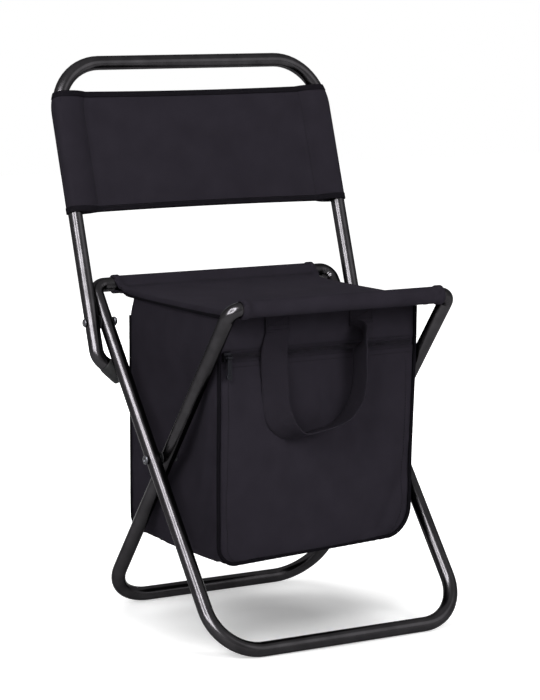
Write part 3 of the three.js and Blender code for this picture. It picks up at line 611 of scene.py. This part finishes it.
# Seat: one cloth in two halves, each wrapped round its own rail and sewn to the bag that hangs under it
seat = {"rail": 0.134, "railHeight": 0.366, "wrap": 0.0093, "wrapFrom": -130, "wrapTurn": 272, "bagHalf": 0.1256,
        "low": 0.3605, "shoulder": 0.3631, "flat": 0.1085, "flange": (0.1215, 0.1060), "edge": 0.0035,
        "sleeveEdge": 0.0005, "hem": 0.3536, "hemRise": 0.0109, "hemDepth": 0.0006, "thickness": 0.0014,
        "bindingAndShade": (0.0003, 0.0024), "bindingAndShadeColumns": 5, "sleeveHem": 0.0068, "hemProud": 0.0012,
        "hemSlope": (0.0007, 0.0008), "seamReach": 0.985, "seams": ((0.1185, 0.36552), (0.1160, 0.36455)),
        "tail": [(0.1132, 0.3589), (0.1170, 0.3587), (0.1225, 0.3586)],
        "slope": [(0.1236, 0.36850), (0.1203, 0.36615), (0.1165, 0.36455), (0.1125, 0.36365)],
        "topSteps": 34, "edgeSteps": 8, "dropSteps": 6, "wrapSteps": 24, "restSteps": 24, "seamSteps": 40,
        "dip": 4, "boundAndShadedFrom": 0.02, "rearSleeve": 0.1314, "frontSleeve": 0.1255}


def seatSurface(y):
    return seat["low"] + (seat["shoulder"] - seat["low"]) * min(1.0, abs(y) / seat["flat"]) ** seat["dip"]


# Points across a seat rail and on to the seat's middle: y, z, the normal's y and z, share of the turned-down side
def seatProfile():
    path = list(seat["tail"])
    for angle in evenly(seat["wrapFrom"], seat["wrapFrom"] + seat["wrapTurn"], seat["wrapSteps"]):
        out, up = math.cos(math.radians(angle)), math.sin(math.radians(angle))
        path.append((seat["rail"] + seat["wrap"] * out, seat["railHeight"] + seat["wrap"] * up))
    path += seat["slope"]
    path += [(y, seatSurface(y)) for y in evenly(seat["flat"], 0, seat["restSteps"])]
    profile = []
    for i, (y, z) in enumerate(path):
        before, after = path[max(0, i - 1)], path[min(len(path) - 1, i + 1)]
        way = Vector((after[0] - before[0], after[1] - before[1])).normalized()
        if i == len(path) - 1:
            way = Vector((-1, 0))
        onTop = i > seat["wrapSteps"] + len(seat["tail"])
        profile.append((y, z, way.y, -way.x, smoothStep(*seat["flange"], y) if onTop else 0.0))
    return profile


# One row across the seat as (x, sink under the top, and the way into the cloth)
def seatAcross(sleeveHalf, share, depth):
    half = sleeveHalf + (seat["bagHalf"] - sleeveHalf) * share
    edge = seat["sleeveEdge"] + (seat["edge"] - seat["sleeveEdge"]) * share
    drop = edge + seat["hemDepth"] + max(0.0, depth - seat["edge"]) * share
    flank = []
    for turn in evenly(0, math.pi / 2, seat["edgeSteps"])[1:]:
        out, up = math.sin(turn), math.cos(turn)
        flank.append((half - edge + edge * out, edge * (1 - up), -out, up))
    flank += [(half, sink, -1.0, 0.0) for sink in evenly(edge, drop, seat["dropSteps"])[1:]]
    reach = half - edge
    proud = -seat["hemProud"] * (1 - share)
    hemStart, (slopeIn, slopeOut) = reach - seat["sleeveHem"], seat["hemSlope"]
    hem = [(hemStart - slopeIn, 0.0), (hemStart, proud), (reach - slopeOut, proud), (reach, 0.0)]
    inner = evenly(-hem[0][0], hem[0][0], seat["topSteps"])[1:-1]
    top = [(-x, sink) for x, sink in reversed(hem)] + [(x, 0.0) for x in inner] + hem
    otherFlank = [(-x, sink, -inX, inSink) for x, sink, inX, inSink in reversed(flank)]
    return otherFlank + [(x, sink, 0.0, 1.0) for x, sink in top] + flank


def seatRing(outward, sleeveHalf, entry, columns=slice(None), proud=0.0, thickness=seat["thickness"]):
    y, z, normalY, normalZ, share = entry
    across = seatAcross(sleeveHalf, share, z - seat["hem"] - seat["hemRise"] * outward * y)[columns]
    layers = []
    for depth in (-proud, thickness):
        places = [(x + inX * depth, sink + inSink * depth) for x, sink, inX, inSink in across]
        layers.append([spot(x, outward * (y - normalY * sink), z - normalZ * sink) for x, sink in places])
    return layers[0] + layers[1][::-1]


profile = seatProfile()
boundAndShaded = [entry for entry in profile if entry[4] > seat["boundAndShadedFrom"]]
for label, outward, body in (("rear", 1, "outer_frame"), ("front", -1, "inner_frame")):
    sleeveHalf = seat[label + "Sleeve"]
    rings = [seatRing(outward, sleeveHalf, entry) for entry in profile]
    pieces = [addPiece("seatHalf_" + label, ringMesh("seatHalf_" + label, rings), "cloth")]
    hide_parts("seat_" + label + "_sleeve", "seat_panel")
    # A near-black binding strip along each side edge: a real binding whose dark also stands in as painted shade in
    # the groove between the seat and the bag
    wide = seat["bindingAndShadeColumns"]
    for side, columns in (("left", slice(0, wide)), ("right", slice(-wide, None))):
        name = "seatBinding_" + label + "_" + side
        rings = [seatRing(outward, sleeveHalf, entry, columns, *seat["bindingAndShade"]) for entry in boundAndShaded]
        bindingAndShade = addPiece(name, ringMesh(name, rings), "trimAndShade")
        pieces.append(bindingAndShade)
    for piece in pieces:
        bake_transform(piece)
    reach = sleeveHalf * seat["seamReach"]
    lines = [[spot(x, outward * y, z) for x in evenly(-reach, reach, seat["seamSteps"])] for y, z in seat["seams"]]
    settle(sewnSeam("seatStitches_" + label, lines), body, "dark_trim")
print("seat halves made")

# Cooler bag: one lofted shell of front, gusset and back, which slumps and swells before it is cut into its panels
bag = {"half": 0.1240, "back": 0.1050, "top": 0.3596, "bottom": 0.0925, "tilt": 0.004, "tiltTop": 0.22,
       "leftCorner": 0.022, "rightCorner": 0.033, "cornerHeight": 0.040, "faceTop": -0.0876, "faceLow": -0.0890,
       "faceFall": (0.30, 0.12), "swell": 0.0045, "swellRise": 0.8, "swellSides": 2.6, "backSwell": 0.003,
       "backFall": (0.36, 0.2), "backTuck": 0.009, "backTuckRise": (0.333, 0.357), "settleFall": (0.33, 0.15),
       "frontSettle": (0.0022, 0.0068), "backSettle": (0.0, 0.0050), "zipHeight": 0.3107, "zipGap": 0.0036,
       "zipRows": 0.002, "fabric": 0.0014, "cornerRows": 11, "panelRows": 30, "bandRows": 9, "columns": 45}


def bagRim(side, height):
    corner = bag["leftCorner"] if side < 0 else bag["rightCorner"]
    low = bag["bottom"] + side * bag["tilt"]
    rise = min(corner, max(0.0, height - low))
    return side * (bag["half"] - corner + math.sqrt(max(0.0, corner ** 2 - (corner - rise) ** 2)))


def faceDepth(x, z):
    low = smoothStep(*bag["faceFall"], z)
    level = min(1.0, max(0.0, (bag["zipHeight"] - z) / (bag["zipHeight"] - bag["bottom"])))
    bulge = math.sin(math.pi * level ** bag["swellRise"]) * (1 - abs(x / bag["half"]) ** bag["swellSides"])
    return bag["faceTop"] + (bag["faceLow"] - bag["faceTop"]) * low - bag["swell"] * bulge


def backDepth(x, z):
    swell = bag["backSwell"] * (1 - (x / bag["half"]) ** 2) * smoothStep(*bag["backFall"], z)
    return bag["back"] + swell - bag["backTuck"] * smoothStep(*bag["backTuckRise"], z)


zipLow, zipHigh = bag["zipHeight"] - bag["zipGap"], bag["zipHeight"] + bag["zipGap"]
cornerShares = [1 - math.cos(math.pi / 2 * i / bag["cornerRows"]) for i in range(bag["cornerRows"])]
bagLevels = [bag["bottom"] + bag["cornerHeight"] * share for share in cornerShares]
bagLevels += evenly(bag["bottom"] + bag["cornerHeight"], zipLow, bag["panelRows"])[:-1]
zipRow = len(bagLevels)
bagLevels += [zipLow, bag["zipHeight"] - bag["zipRows"], bag["zipHeight"] + bag["zipRows"]]
bandRow = len(bagLevels)
bagLevels += evenly(zipHigh, bag["top"], bag["bandRows"])


def bagFace(depth, leftOut, rightIn):
    rows = []
    for level in bagLevels:
        tilt = bag["tilt"] * (1 - smoothStep(bag["bottom"], bag["tiltTop"], level))
        settled = smoothStep(*bag["settleFall"], level)
        left = bagRim(-1, level - tilt) - leftOut * settled
        right = bagRim(1, level + tilt) - rightIn * settled
        row = []
        for share in evenly(0, 1, bag["columns"] - 1):
            x, height = left + (right - left) * share, level + tilt * (2 * share - 1)
            row.append(Vector((x, depth(x, height), height)))
        rows.append(row)
    return rows


# Where the rim of a face lies in its rows: down the left, along the bottom and up the right
def rimPlaces(rows):
    top, wide = len(rows), len(rows[0])
    bottom = [(0, c) for c in range(1, wide - 1)]
    return [(r, 0) for r in reversed(range(top))] + bottom + [(r, wide - 1) for r in range(top)]


def rimOf(rows):
    return [rows[r][c] for r, c in rimPlaces(rows)]


frontRows = bagFace(faceDepth, *bag["frontSettle"])
backRows = bagFace(backDepth, *bag["backSettle"])
gusset = {"columns": 29, "wallIn": 0.012, "ripple": 0.0016, "rippleScale": (17, 15, 3), "rippleLevel": 0.6,
          "rippleWave": 0.8, "sag": 0.0110, "sagAcross": ((0.05, 0.38), (0.97, 0.55)),
          "sagUp": ((0.11, 0.20), (0.328, 0.262)), "tuck": 0.0010, "tuckRise": (0.338, 0.352), "tuckEnds": 6}


def gussetDent(place, share):
    across, up, deep = gusset["rippleScale"]
    waves = noise.noise(Vector((place.y * across, place.z * up, place.x * deep)))
    level = gusset["rippleLevel"] + gusset["rippleWave"] * waves
    ripple = gusset["ripple"] * math.sin(math.pi * share) * level
    sag = gusset["sag"]
    for span in gusset["sagAcross"]:
        sag *= smoothStep(*span, share)
    for span in gusset["sagUp"]:
        sag *= smoothStep(*span, place.z)
    ends = min(1.0, gusset["tuckEnds"] * share, gusset["tuckEnds"] * (1 - share))
    return ripple + sag + gusset["tuck"] * smoothStep(*gusset["tuckRise"], place.z) * ends


gussetRows = []
for near, far in zip(rimOf(frontRows), rimOf(backRows)):
    row = []
    for share in evenly(0, 1, gusset["columns"] - 1):
        place = near.lerp(far, share)
        inward = -math.copysign(1, place.x) if abs(place.x) > bag["half"] - gusset["wallIn"] else 0.0
        row.append(place + Vector((inward, 0, 0)) * gussetDent(place, share))
    gussetRows.append(row)

# Cloth simulation of the whole shell: sewn top, piped edges and zip hold it, the padding pushes it out
slump = {"frames": 20, "cap": 0.0055, "sideCap": 0.0024, "sideIn": 0.03, "gravity": 0.5, "topHold": (0.335, 0.356),
         "zipHold": (0.014, 0.004), "edgeHold": 0.75}
shellCloth = {"quality": 7, "mass": 0.25, "tension_stiffness": 12, "compression_stiffness": 12, "shear_stiffness": 6,
              "bending_stiffness": 1.2, "shrink_min": -0.006, "use_pressure": True, "uniform_pressure_force": 2.4,
              "vertex_group_mass": "held", "pin_stiffness": 1.0}


def slumpBag():
    walls = (("front", frontRows), ("back", backRows), ("gusset", gussetRows))
    rim = rimPlaces(frontRows)
    points, index, faces = [], {}, []
    for label, rows in walls:
        for r, row in enumerate(rows):
            for c, place in enumerate(row):
                edge = {0: "front", len(row) - 1: "back"}.get(c) if label == "gusset" else None
                index[(label, r, c)] = index[(edge, *rim[r])] if edge else len(points)
                if not edge:
                    points.append(place)
        for i in range(len(rows) - 1):
            for j in range(len(rows[0]) - 1):
                ring = [index[(label, a, b)] for a, b in ((i, j), (i, j + 1), (i + 1, j + 1), (i + 1, j))]
                faces.append(ring[::-1] if label == "back" else ring)
    mesh = bpy.data.meshes.new("bagShell")
    mesh.from_pydata(points, [], faces)
    shell = bpy.data.objects.new("bagShell", mesh)
    scene.collection.objects.link(shell)
    held = shell.vertex_groups.new(name="held")
    for (label, r, c), vertex in index.items():
        height = points[vertex].z
        hold = smoothStep(*slump["topHold"], height)
        if label == "front":
            hold = max(hold, smoothStep(*slump["zipHold"], abs(height - bag["zipHeight"])))
        if label == "gusset" and c in (0, gusset["columns"] - 1):
            hold = max(hold, slump["edgeHold"])
        if hold > 0:
            held.add([vertex], hold, "REPLACE")
    cloth = shell.modifiers.new("cloth", "CLOTH")
    for setting, value in shellCloth.items():
        setattr(cloth.settings, setting, value)
    cloth.settings.effector_weights.gravity = slump["gravity"]
    cloth.collision_settings.use_collision = False
    cloth.point_cache.frame_start, cloth.point_cache.frame_end = 1, slump["frames"]
    for step in range(1, slump["frames"] + 1):
        scene.frame_set(step)
    moved = shell.evaluated_get(bpy.context.evaluated_depsgraph_get()).to_mesh()
    ended = [vertex.co.copy() for vertex in moved.vertices]
    scene.frame_set(1)
    bpy.data.objects.remove(shell)
    for label, rows in walls:
        for i, row in enumerate(rows):
            for j in range(len(row)):
                begun = points[index[(label, i, j)]]
                shift = ended[index[(label, i, j)]] - begun
                if shift.length > slump["cap"]:
                    shift = shift.normalized() * slump["cap"]
                outward = shift.x * math.copysign(1, begun.x)
                if outward > slump["sideCap"] and abs(begun.x) > bag["half"] - slump["sideIn"]:
                    shift.x *= slump["sideCap"] / outward
                row[j] = begun + shift


slumpBag()
print("bag simulated")


def placed(rows):
    return [[spot(*place) for place in row] for row in rows]


def insetRows(rows, depth, flip=False):
    points = np.array([[tuple(p) for p in row] for row in rows])
    along, across = np.gradient(points, axis=0), np.gradient(points, axis=1)
    normal = np.cross(across, along)
    normal /= np.maximum(np.linalg.norm(normal, axis=2, keepdims=True), 1e-9)
    return [[Vector(p) for p in row] for row in points - normal * (-depth if flip else depth)]


def clothPiece(name, rows, finish, thickness, body, slot, node, flip=False):
    mesh = gridMesh(name, placed(rows), flip=flip)
    return newPiece(name, mesh, finish, body, slot, node, thickness=thickness)


def bagWall(name, rows, body, node, flip=False):
    return clothPiece(name, rows, "cloth", bag["fabric"], body, "charcoal_cloth", node, flip)


def gathers(piece):
    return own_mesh(piece)


frontPanel = bagWall("frontPanel", frontRows[: zipRow + 1], "bag_front", "front_panel")
upperBand = bagWall("upperBand", frontRows[bandRow:], "bag_front", "upper_band")
backPanelCloth = bagWall("bagBackPanel", backRows, "bag_back", "back_panel", flip=True)
gussetCloth = bagWall("bagGusset", gussetRows, "cooler_bag", "bag_gusset")
gathers(gussetCloth)
print("bag panels made")

# Piping round the front and the back
piping = {"radius": 0.0021, "sides": 10, "out": 0.0006, "away": 0.0006, "frontTop": 0.3540, "backTop": 0.3380}


def pipedEdge(label, rim, way):
    line = [place for place in rim if place.z < piping[label + "Top"]]
    stations = []
    for i, place in enumerate(line):
        along = (line[min(i + 1, len(line) - 1)] - line[max(i - 1, 0)]).normalized()
        centre = place - yWay.cross(along) * piping["out"] + yWay * (way * piping["away"])
        stations.append((spot(*centre), along, None))
    mesh = sweptTube(label + "Piping", stations, yWay, False, piping["radius"], piping["sides"])
    newPiece(label + "Piping", mesh, "trimAndShade", "bag_" + label, "dark_trim", label + "_piping")


pipedEdge("front", [row[0] for row in gussetRows], -1)
pipedEdge("back", [row[-1] for row in gussetRows], 1)

# Zip: tape behind the slit, two rows of teeth, slider and puller
zipper = {"pitch": 0.0015, "half": 0.1180, "tooth": (0.0008, 0.0016, 0.0021), "toothRound": 0.00022, "rowGap": 0.0011,
          "toothBack": 0.0004, "tapeBack": 0.0010, "tape": 0.0006, "metalRound": 0.00035, "lineSteps": 60}


# Depth of the bag's front at any place on it
def frontAt(x, z):
    heights = [row[0].z for row in frontRows]
    r = max(0, min(len(heights) - 2, int(np.searchsorted(heights, z)) - 1))
    column = (x + bag["half"]) / (2 * bag["half"]) * (bag["columns"] - 1)
    c = max(0, min(bag["columns"] - 2, int(column)))
    up = min(1.0, max(0.0, (z - heights[r]) / (heights[r + 1] - heights[r])))
    side = min(1.0, max(0.0, column - c))
    low, high = (frontRows[k][c].lerp(frontRows[k][c + 1], side) for k in (r, r + 1))
    return low.lerp(high, up).y


def frontLine(z, half, proud):
    return [spot(x, frontAt(x, z) - proud, z) for x in evenly(-half, half, zipper["lineSteps"])]


tapeRows = insetRows(frontRows[zipRow - 1: bandRow + 2], zipper["tapeBack"])
clothPiece("zipTape", tapeRows, "zipCloth", zipper["tape"], "bag_front", "dark_trim", "zip_chain")


def toothMesh():
    shape = bmesh.new()
    bmesh.ops.create_cube(shape, size=1.0)
    bmesh.ops.scale(shape, vec=zipper["tooth"], verts=shape.verts)
    bmesh.ops.bevel(shape, geom=shape.edges, offset=zipper["toothRound"], segments=1, affect="EDGES")
    return fromShape(shape, bpy.data.meshes.new("toothShape"))


for label, lift, slide in (("Low", -zipper["rowGap"], 0.0), ("High", zipper["rowGap"], zipper["pitch"] / 2)):
    line = frontLine(bag["zipHeight"] + lift, zipper["half"], -zipper["toothBack"])
    line = [place + xWay * slide for place in line]
    edges = [(i, i + 1) for i in range(len(line) - 1)]
    teeth = bakedRepeat("zipTeeth" + label, line, edges, toothMesh(), "zipTeeth", spacing=zipper["pitch"])
    settle(teeth, "bag_front", "dark_trim")

# The slider and the puller are their own solids with the edges rounded
for node, name in (("zip_slider", "zipSlider"), ("zip_puller", "zipPuller")):
    shape = shapeOf(frame["nodes"][node].data)
    shape.transform(frame["nodes"][node].matrix_world)
    bmesh.ops.remove_doubles(shape, verts=shape.verts, dist=1e-5)
    bmesh.ops.dissolve_limit(shape, angle_limit=math.radians(1), verts=shape.verts, edges=shape.edges)
    bmesh.ops.recalc_face_normals(shape, faces=shape.faces)
    piece = addPiece(name, smoothed(fromShape(shape, bpy.data.meshes.new(name))), "zipMetal")
    soft = piece.modifiers.new("soft", "BEVEL")
    soft.width, soft.segments, soft.harden_normals = zipper["metalRound"], 3, True
    soft.limit_method, soft.angle_limit = "ANGLE", math.radians(25)
    settle(piece, node, "black_steel", node)
print("piping and zip made")

# Carry handle: a webbing loop that hangs from two sewn ends and twists as it turns
handle = {"half": 0.053, "width": 0.030, "thickness": 0.002, "top": 0.33555, "drop": 0.115, "plane": -0.0893,
          "tuck": 0.004, "face": -0.088, "restGap": 0.0022, "steps": 120, "look": 0.004, "flat": 0.975,
          "crown": 0.000176, "crownPower": 6, "faceSteps": 12, "endLow": 0.33585, "endHigh": 0.3517, "endSteps": 8}
handleStops = [(-1.12, 0.21, 12), (-1.11, 0.48, 16), (-1.07, 0.77, 24), (-0.90, 0.93, 52), (-0.62, 0.985, 74),
               (-0.25, 0.955, 80), (0.12, 0.925, 80), (0.45, 0.85, 84), (0.70, 0.69, 88), (0.79, 0.48, 88),
               (0.80, 0.25, 86), (0.90, 0.12, 60)]


# Each knot is a place and a twist in degrees; the stops above are shares across and down, and the twist
def handleKnots():
    loop = []
    for across, down, turn in handleStops:
        away = handle["restGap"] + handle["width"] / 2 * math.sin(math.radians(turn))
        place = Vector((across * handle["half"], handle["face"] - away, handle["top"] - down * handle["drop"]))
        loop.append((place, float(turn)))
    ends = []
    for side in (-1, 1):
        heights = (handle["top"], handle["top"] - handle["tuck"])
        ends.append([(Vector((side * handle["half"], handle["plane"], height)), 0.0) for height in heights])
    return ends[0] + loop + ends[1][::-1]


# Place and twist at a share of the way, on a smooth curve through the knots
def onHandle(knots, share):
    place = share * (len(knots) - 1)
    i = min(int(place), len(knots) - 2)
    t = place - i
    p1, p2 = knots[i][0], knots[i + 1][0]
    p0 = knots[i - 1][0] if i else p1 * 2 - p2
    p3 = knots[i + 2][0] if i + 2 < len(knots) else p2 * 2 - p1
    d0, d1, d2 = (max(1e-4, (q - p).length ** 0.5) for p, q in ((p0, p1), (p1, p2), (p2, p3)))
    start = ((p1 - p0) / d0 - (p2 - p0) / (d0 + d1) + (p2 - p1) / d1) * d1
    end = ((p2 - p1) / d1 - (p3 - p1) / (d1 + d2) + (p3 - p2) / d2) * d1
    c2, c3 = (p2 - p1) * 3 - start * 2 - end, (p1 - p2) * 2 + start + end
    turn = knots[i][1] + (knots[i + 1][1] - knots[i][1]) * (t * t * (3 - 2 * t))
    return p1 + start * t + c2 * t ** 2 + c3 * t ** 3, math.radians(turn)


def strapSection():
    wide, thick = handle["width"] / 2, handle["thickness"] / 2
    face = evenly(-wide * handle["flat"], wide * handle["flat"], handle["faceSteps"])
    front = [(thick - handle["crown"] * (abs(w) / wide) ** handle["crownPower"], w) for w in face]
    return [(0.0, -wide)] + front + [(0.0, wide)] + [(-t, w) for t, w in reversed(front)]


def strap(name, rings, body, node):
    newPiece(name, ringMesh(name, rings), "webbing", body, "webbing", node)


section = strapSection()
knots = handleKnots()
rings = []
for i, share in enumerate(evenly(0, 1, handle["steps"])):
    place, turn = onHandle(knots, share)
    ahead = onHandle(knots, min(1.0, share + handle["look"]))[0]
    behind = onHandle(knots, max(0.0, share - handle["look"]))[0]
    along = (ahead - behind).normalized()
    if i in (0, handle["steps"]):
        along = Vector((0, 0, -1 if i == 0 else 1))
    across = yWay.cross(along).normalized()
    wide = across * math.cos(turn) + along.cross(across) * math.sin(turn)
    thick = wide.cross(along)
    rings.append([spot(*(place + thick * t + wide * w)) for t, w in section])
strap("carryHandle", rings, "carry_handle", "carry_handle")
for label, side in bothSides:
    heights = evenly(handle["endLow"], handle["endHigh"], handle["endSteps"])
    rings = [[spot(side * handle["half"] + w, handle["plane"] - t, height) for t, w in section] for height in heights]
    strap("handleEnd_" + label, rings, "bag_front", "handle_end_" + label)
print("handle made")

# Sewing on the bag: zip edges, a box with a diagonal on each handle end, and the line beside the piping
sewing = {"sideIn": 0.006, "zipOut": 0.0025, "zipTwin": 0.0080, "boxHalf": 0.0125, "boxLow": 0.0042,
          "boxHigh": 0.0018, "boxPlane": -0.0904, "boxSteps": 8, "edgeColumns": 2, "edgeRows": (3, 2)}
seamHeights = (zipHigh + sewing["zipOut"], zipLow - sewing["zipOut"], zipLow - sewing["zipTwin"])
bagSeams = [frontLine(height, bag["half"] - sewing["sideIn"], stitch["proud"]) for height in seamHeights]
low, high = handle["endLow"] + sewing["boxLow"], handle["endHigh"] - sewing["boxHigh"]
for label, side in bothSides:
    left, right = (side * handle["half"] + reach for reach in (-sewing["boxHalf"], sewing["boxHalf"]))
    box = [(left, low), (right, low), (right, high), (left, high), (left, low), (right, high)]
    for (x1, z1), (x2, z2) in zip(box, box[1:]):
        shares = evenly(0, 1, sewing["boxSteps"])
        bagSeams.append([spot(x1 + (x2 - x1) * s, sewing["boxPlane"], z1 + (z2 - z1) * s) for s in shares])
(lowRows, highRows), inColumns = sewing["edgeRows"], sewing["edgeColumns"]
inner = [row[inColumns: -inColumns] for row in frontRows[lowRows: zipRow - highRows]]
bagSeams.append([spot(place.x, place.y - stitch["proud"], place.z) for place in rimOf(inner)])
settle(sewnSeam("bagStitches", bagSeams), "bag_front", "dark_trim")

# Inside the bag: foam on every wall, and the waterproof liner
padding = {"inset": 0.0019, "thickness": 0.0046, "linerInset": 0.0072, "linerFilm": 0.0008, "keep": 0.07,
           "frontTop": 0.298, "backTop": 0.350, "gussetTop": 0.300, "linerTop": 0.296, "lidGap": 0.0022,
           "lidHalf": 0.117, "lidFront": -0.0850, "lidBack": 0.1020, "lidRows": 24, "lidColumns": 30,
           "faceCrop": (3, 5), "gussetCrop": (5, 0), "linerFaceCrop": (2, 3), "linerGussetCrop": (2, 0)}


def cropped(rows, crop, top):
    across, along = padding[crop + "Crop"]
    return [row[across: len(row) - across] for row in rows[along:] if row[0].z < padding[top + "Top"]]


def pad(name, rows, body, node, flip=False):
    rows = insetRows(rows, padding["inset"], flip)
    piece = clothPiece(name, rows, "foam", padding["thickness"], body, "white_foam", node, flip)
    return piece


pad("frontFoam", cropped(frontRows, "face", "front"), "bag_front", "front_foam")
pad("backFoam", cropped(backRows, "face", "back"), "bag_back", "back_foam", flip=True)
gathers(pad("gussetFoam", cropped(gussetRows, "gusset", "gusset"), "cooler_bag", "gusset_foam"))
lidRows = []
lidAcross = evenly(-padding["lidHalf"], padding["lidHalf"], padding["lidColumns"])
for y in evenly(padding["lidFront"], padding["lidBack"], padding["lidRows"]):
    height = seatSurface(y) - padding["lidGap"]
    lidRows.append([Vector((x, y, height)) for x in lidAcross])
lid = clothPiece("lidFoam", lidRows, "foam", padding["thickness"], "cooler_bag", "white_foam", "lid_foam")
gathers(lid)
linerShape = bmesh.new()
for rows, crop, flip in ((frontRows, "Face", False), (backRows, "Face", True), (gussetRows, "Gusset", False)):
    wall = insetRows(cropped(rows, "liner" + crop, "liner"), padding["linerInset"], flip)
    linerShape.from_mesh(gridMesh("linerWall", placed(wall), flip=flip))
linerMesh = fromShape(linerShape, bpy.data.meshes.new("coolerLiner"))
liner = newPiece("coolerLiner", linerMesh, "film", "cooler_bag", "liner_film", "cooler_liner",
                 thickness=padding["linerFilm"])
gathers(liner)
print("padding and liner made")


# One for rays that come from the camera, a reflection or a clear surface, and none for the rest
def looking(tree):
    rays = addNode(tree, "ShaderNodeLightPath", {})
    straight = mathNode(tree, "MAXIMUM", rays["Is Camera Ray"], rays["Is Glossy Ray"])
    return mathNode(tree, "MAXIMUM", straight, rays["Is Transmission Ray"])


# Stage: a pale floor that keeps the cast shadow and has a painted shadow under the stool, a white surround, soft
# lamps and the camera
stage = {"floorHalf": 6, "floorShade": (0.85, 0.85, 0.85, 1), "paintedShadowCentre": (-0.0115, -0.034, 0),
         "paintedShadow": ((0.05, 0.0), (0.105, 0.16), (0.15, 0.46), (0.20, 0.62), (0.27, 0.86), (0.6, 1.0)),
         "surround": (0.84, 0.16), "aim": (0, 0, 0.28)}
size = stage["floorHalf"]
floorMesh = bpy.data.meshes.new("floor")
floorMesh.from_pydata([(-size, -size, 0), (size, -size, 0), (size, size, 0), (-size, size, 0)], [], [(0, 1, 2, 3)])
floor = bpy.data.objects.new("floor", floorMesh)
scene.collection.objects.link(floor)
paleFloor, floorTree = newMaterial("paleFloor")
# Painted shadow: the floor's glow is lowered towards a centre under the stool, darkest in the middle and full white
# from 0.6 m out
inputs = {0: objectPlace(floorTree), 1: stage["paintedShadowCentre"]}
reach = addNode(floorTree, "ShaderNodeVectorMath", inputs, operation="DISTANCE")["Value"]
paintedShadowFade = ramp(floorTree, reach, [(place, (shade,) * 3) for place, shade in stage["paintedShadow"]])
strength = mathNode(floorTree, "MULTIPLY", looking(floorTree), paintedShadowFade)
matte = addNode(floorTree, "ShaderNodeBsdfDiffuse", {"Color": stage["floorShade"]})["BSDF"]
glow = addNode(floorTree, "ShaderNodeEmission", {"Strength": strength})["Emission"]
both = addNode(floorTree, "ShaderNodeAddShader", {0: matte, 1: glow})["Shader"]
addNode(floorTree, "ShaderNodeOutputMaterial", {"Surface": both})
floorMesh.materials.append(paleFloor)

world = bpy.data.worlds.new("whiteSurround")
scene.world = world
world.use_nodes = True
sky = world.node_tree
skyLight = sky.nodes["Background"]
skyLight.inputs["Color"].default_value = (1, 1, 1, 1)
sky.links.new(mathNode(sky, "MULTIPLY_ADD", looking(sky), *stage["surround"]), skyLight.inputs["Strength"])

# Each lamp as place, size, power, and whether cloth and gloss see it: the two boxes only put their shine on the paint
lamps = {
    "key": ((-1.52, -1.0, 1.45), 0.9, 25, True, False),
    "softbox": ((-1.52, -1.0, 1.45), 1.7, 390, False, True),
    "front": ((0.8, -2.3, 1.2), 0.8, 30, True, False),
    "fillbox": ((1.45, -2.05, 1.25), 1.8, 20, False, True),
    "overhead": ((0.1, 0.3, 2.5), 1.6, 9, True, False),
    "rear": ((0.5, 2.4, 1.1), 1.8, 34, True, False),
}
for name, (place, size, power, onCloth, onGloss) in lamps.items():
    lampData = bpy.data.lights.new(name, "AREA")
    lampData.shape, lampData.size, lampData.size_y, lampData.energy = "RECTANGLE", size, size, power
    lamp = bpy.data.objects.new(name, lampData)
    lamp.location = place
    lamp.rotation_euler = (Vector(stage["aim"]) - Vector(place)).to_track_quat("-Z", "Y").to_euler()
    lamp.visible_diffuse, lamp.visible_glossy = onCloth, onGloss
    scene.collection.objects.link(lamp)

view = {"lens": 133.8, "sensor": 36, "place": (-1.4754, -2.4316, 0.7018), "tilt": 81.873, "turn": -31.392}
cameraData = bpy.data.cameras.new("photoCamera")
cameraData.lens, cameraData.sensor_width = view["lens"], view["sensor"]
camera = bpy.data.objects.new("photoCamera", cameraData)
camera.location = view["place"]
camera.rotation_euler = (math.radians(view["tilt"]), 0, math.radians(view["turn"]))
scene.collection.objects.link(camera)
scene.camera = camera
print("stage ready")
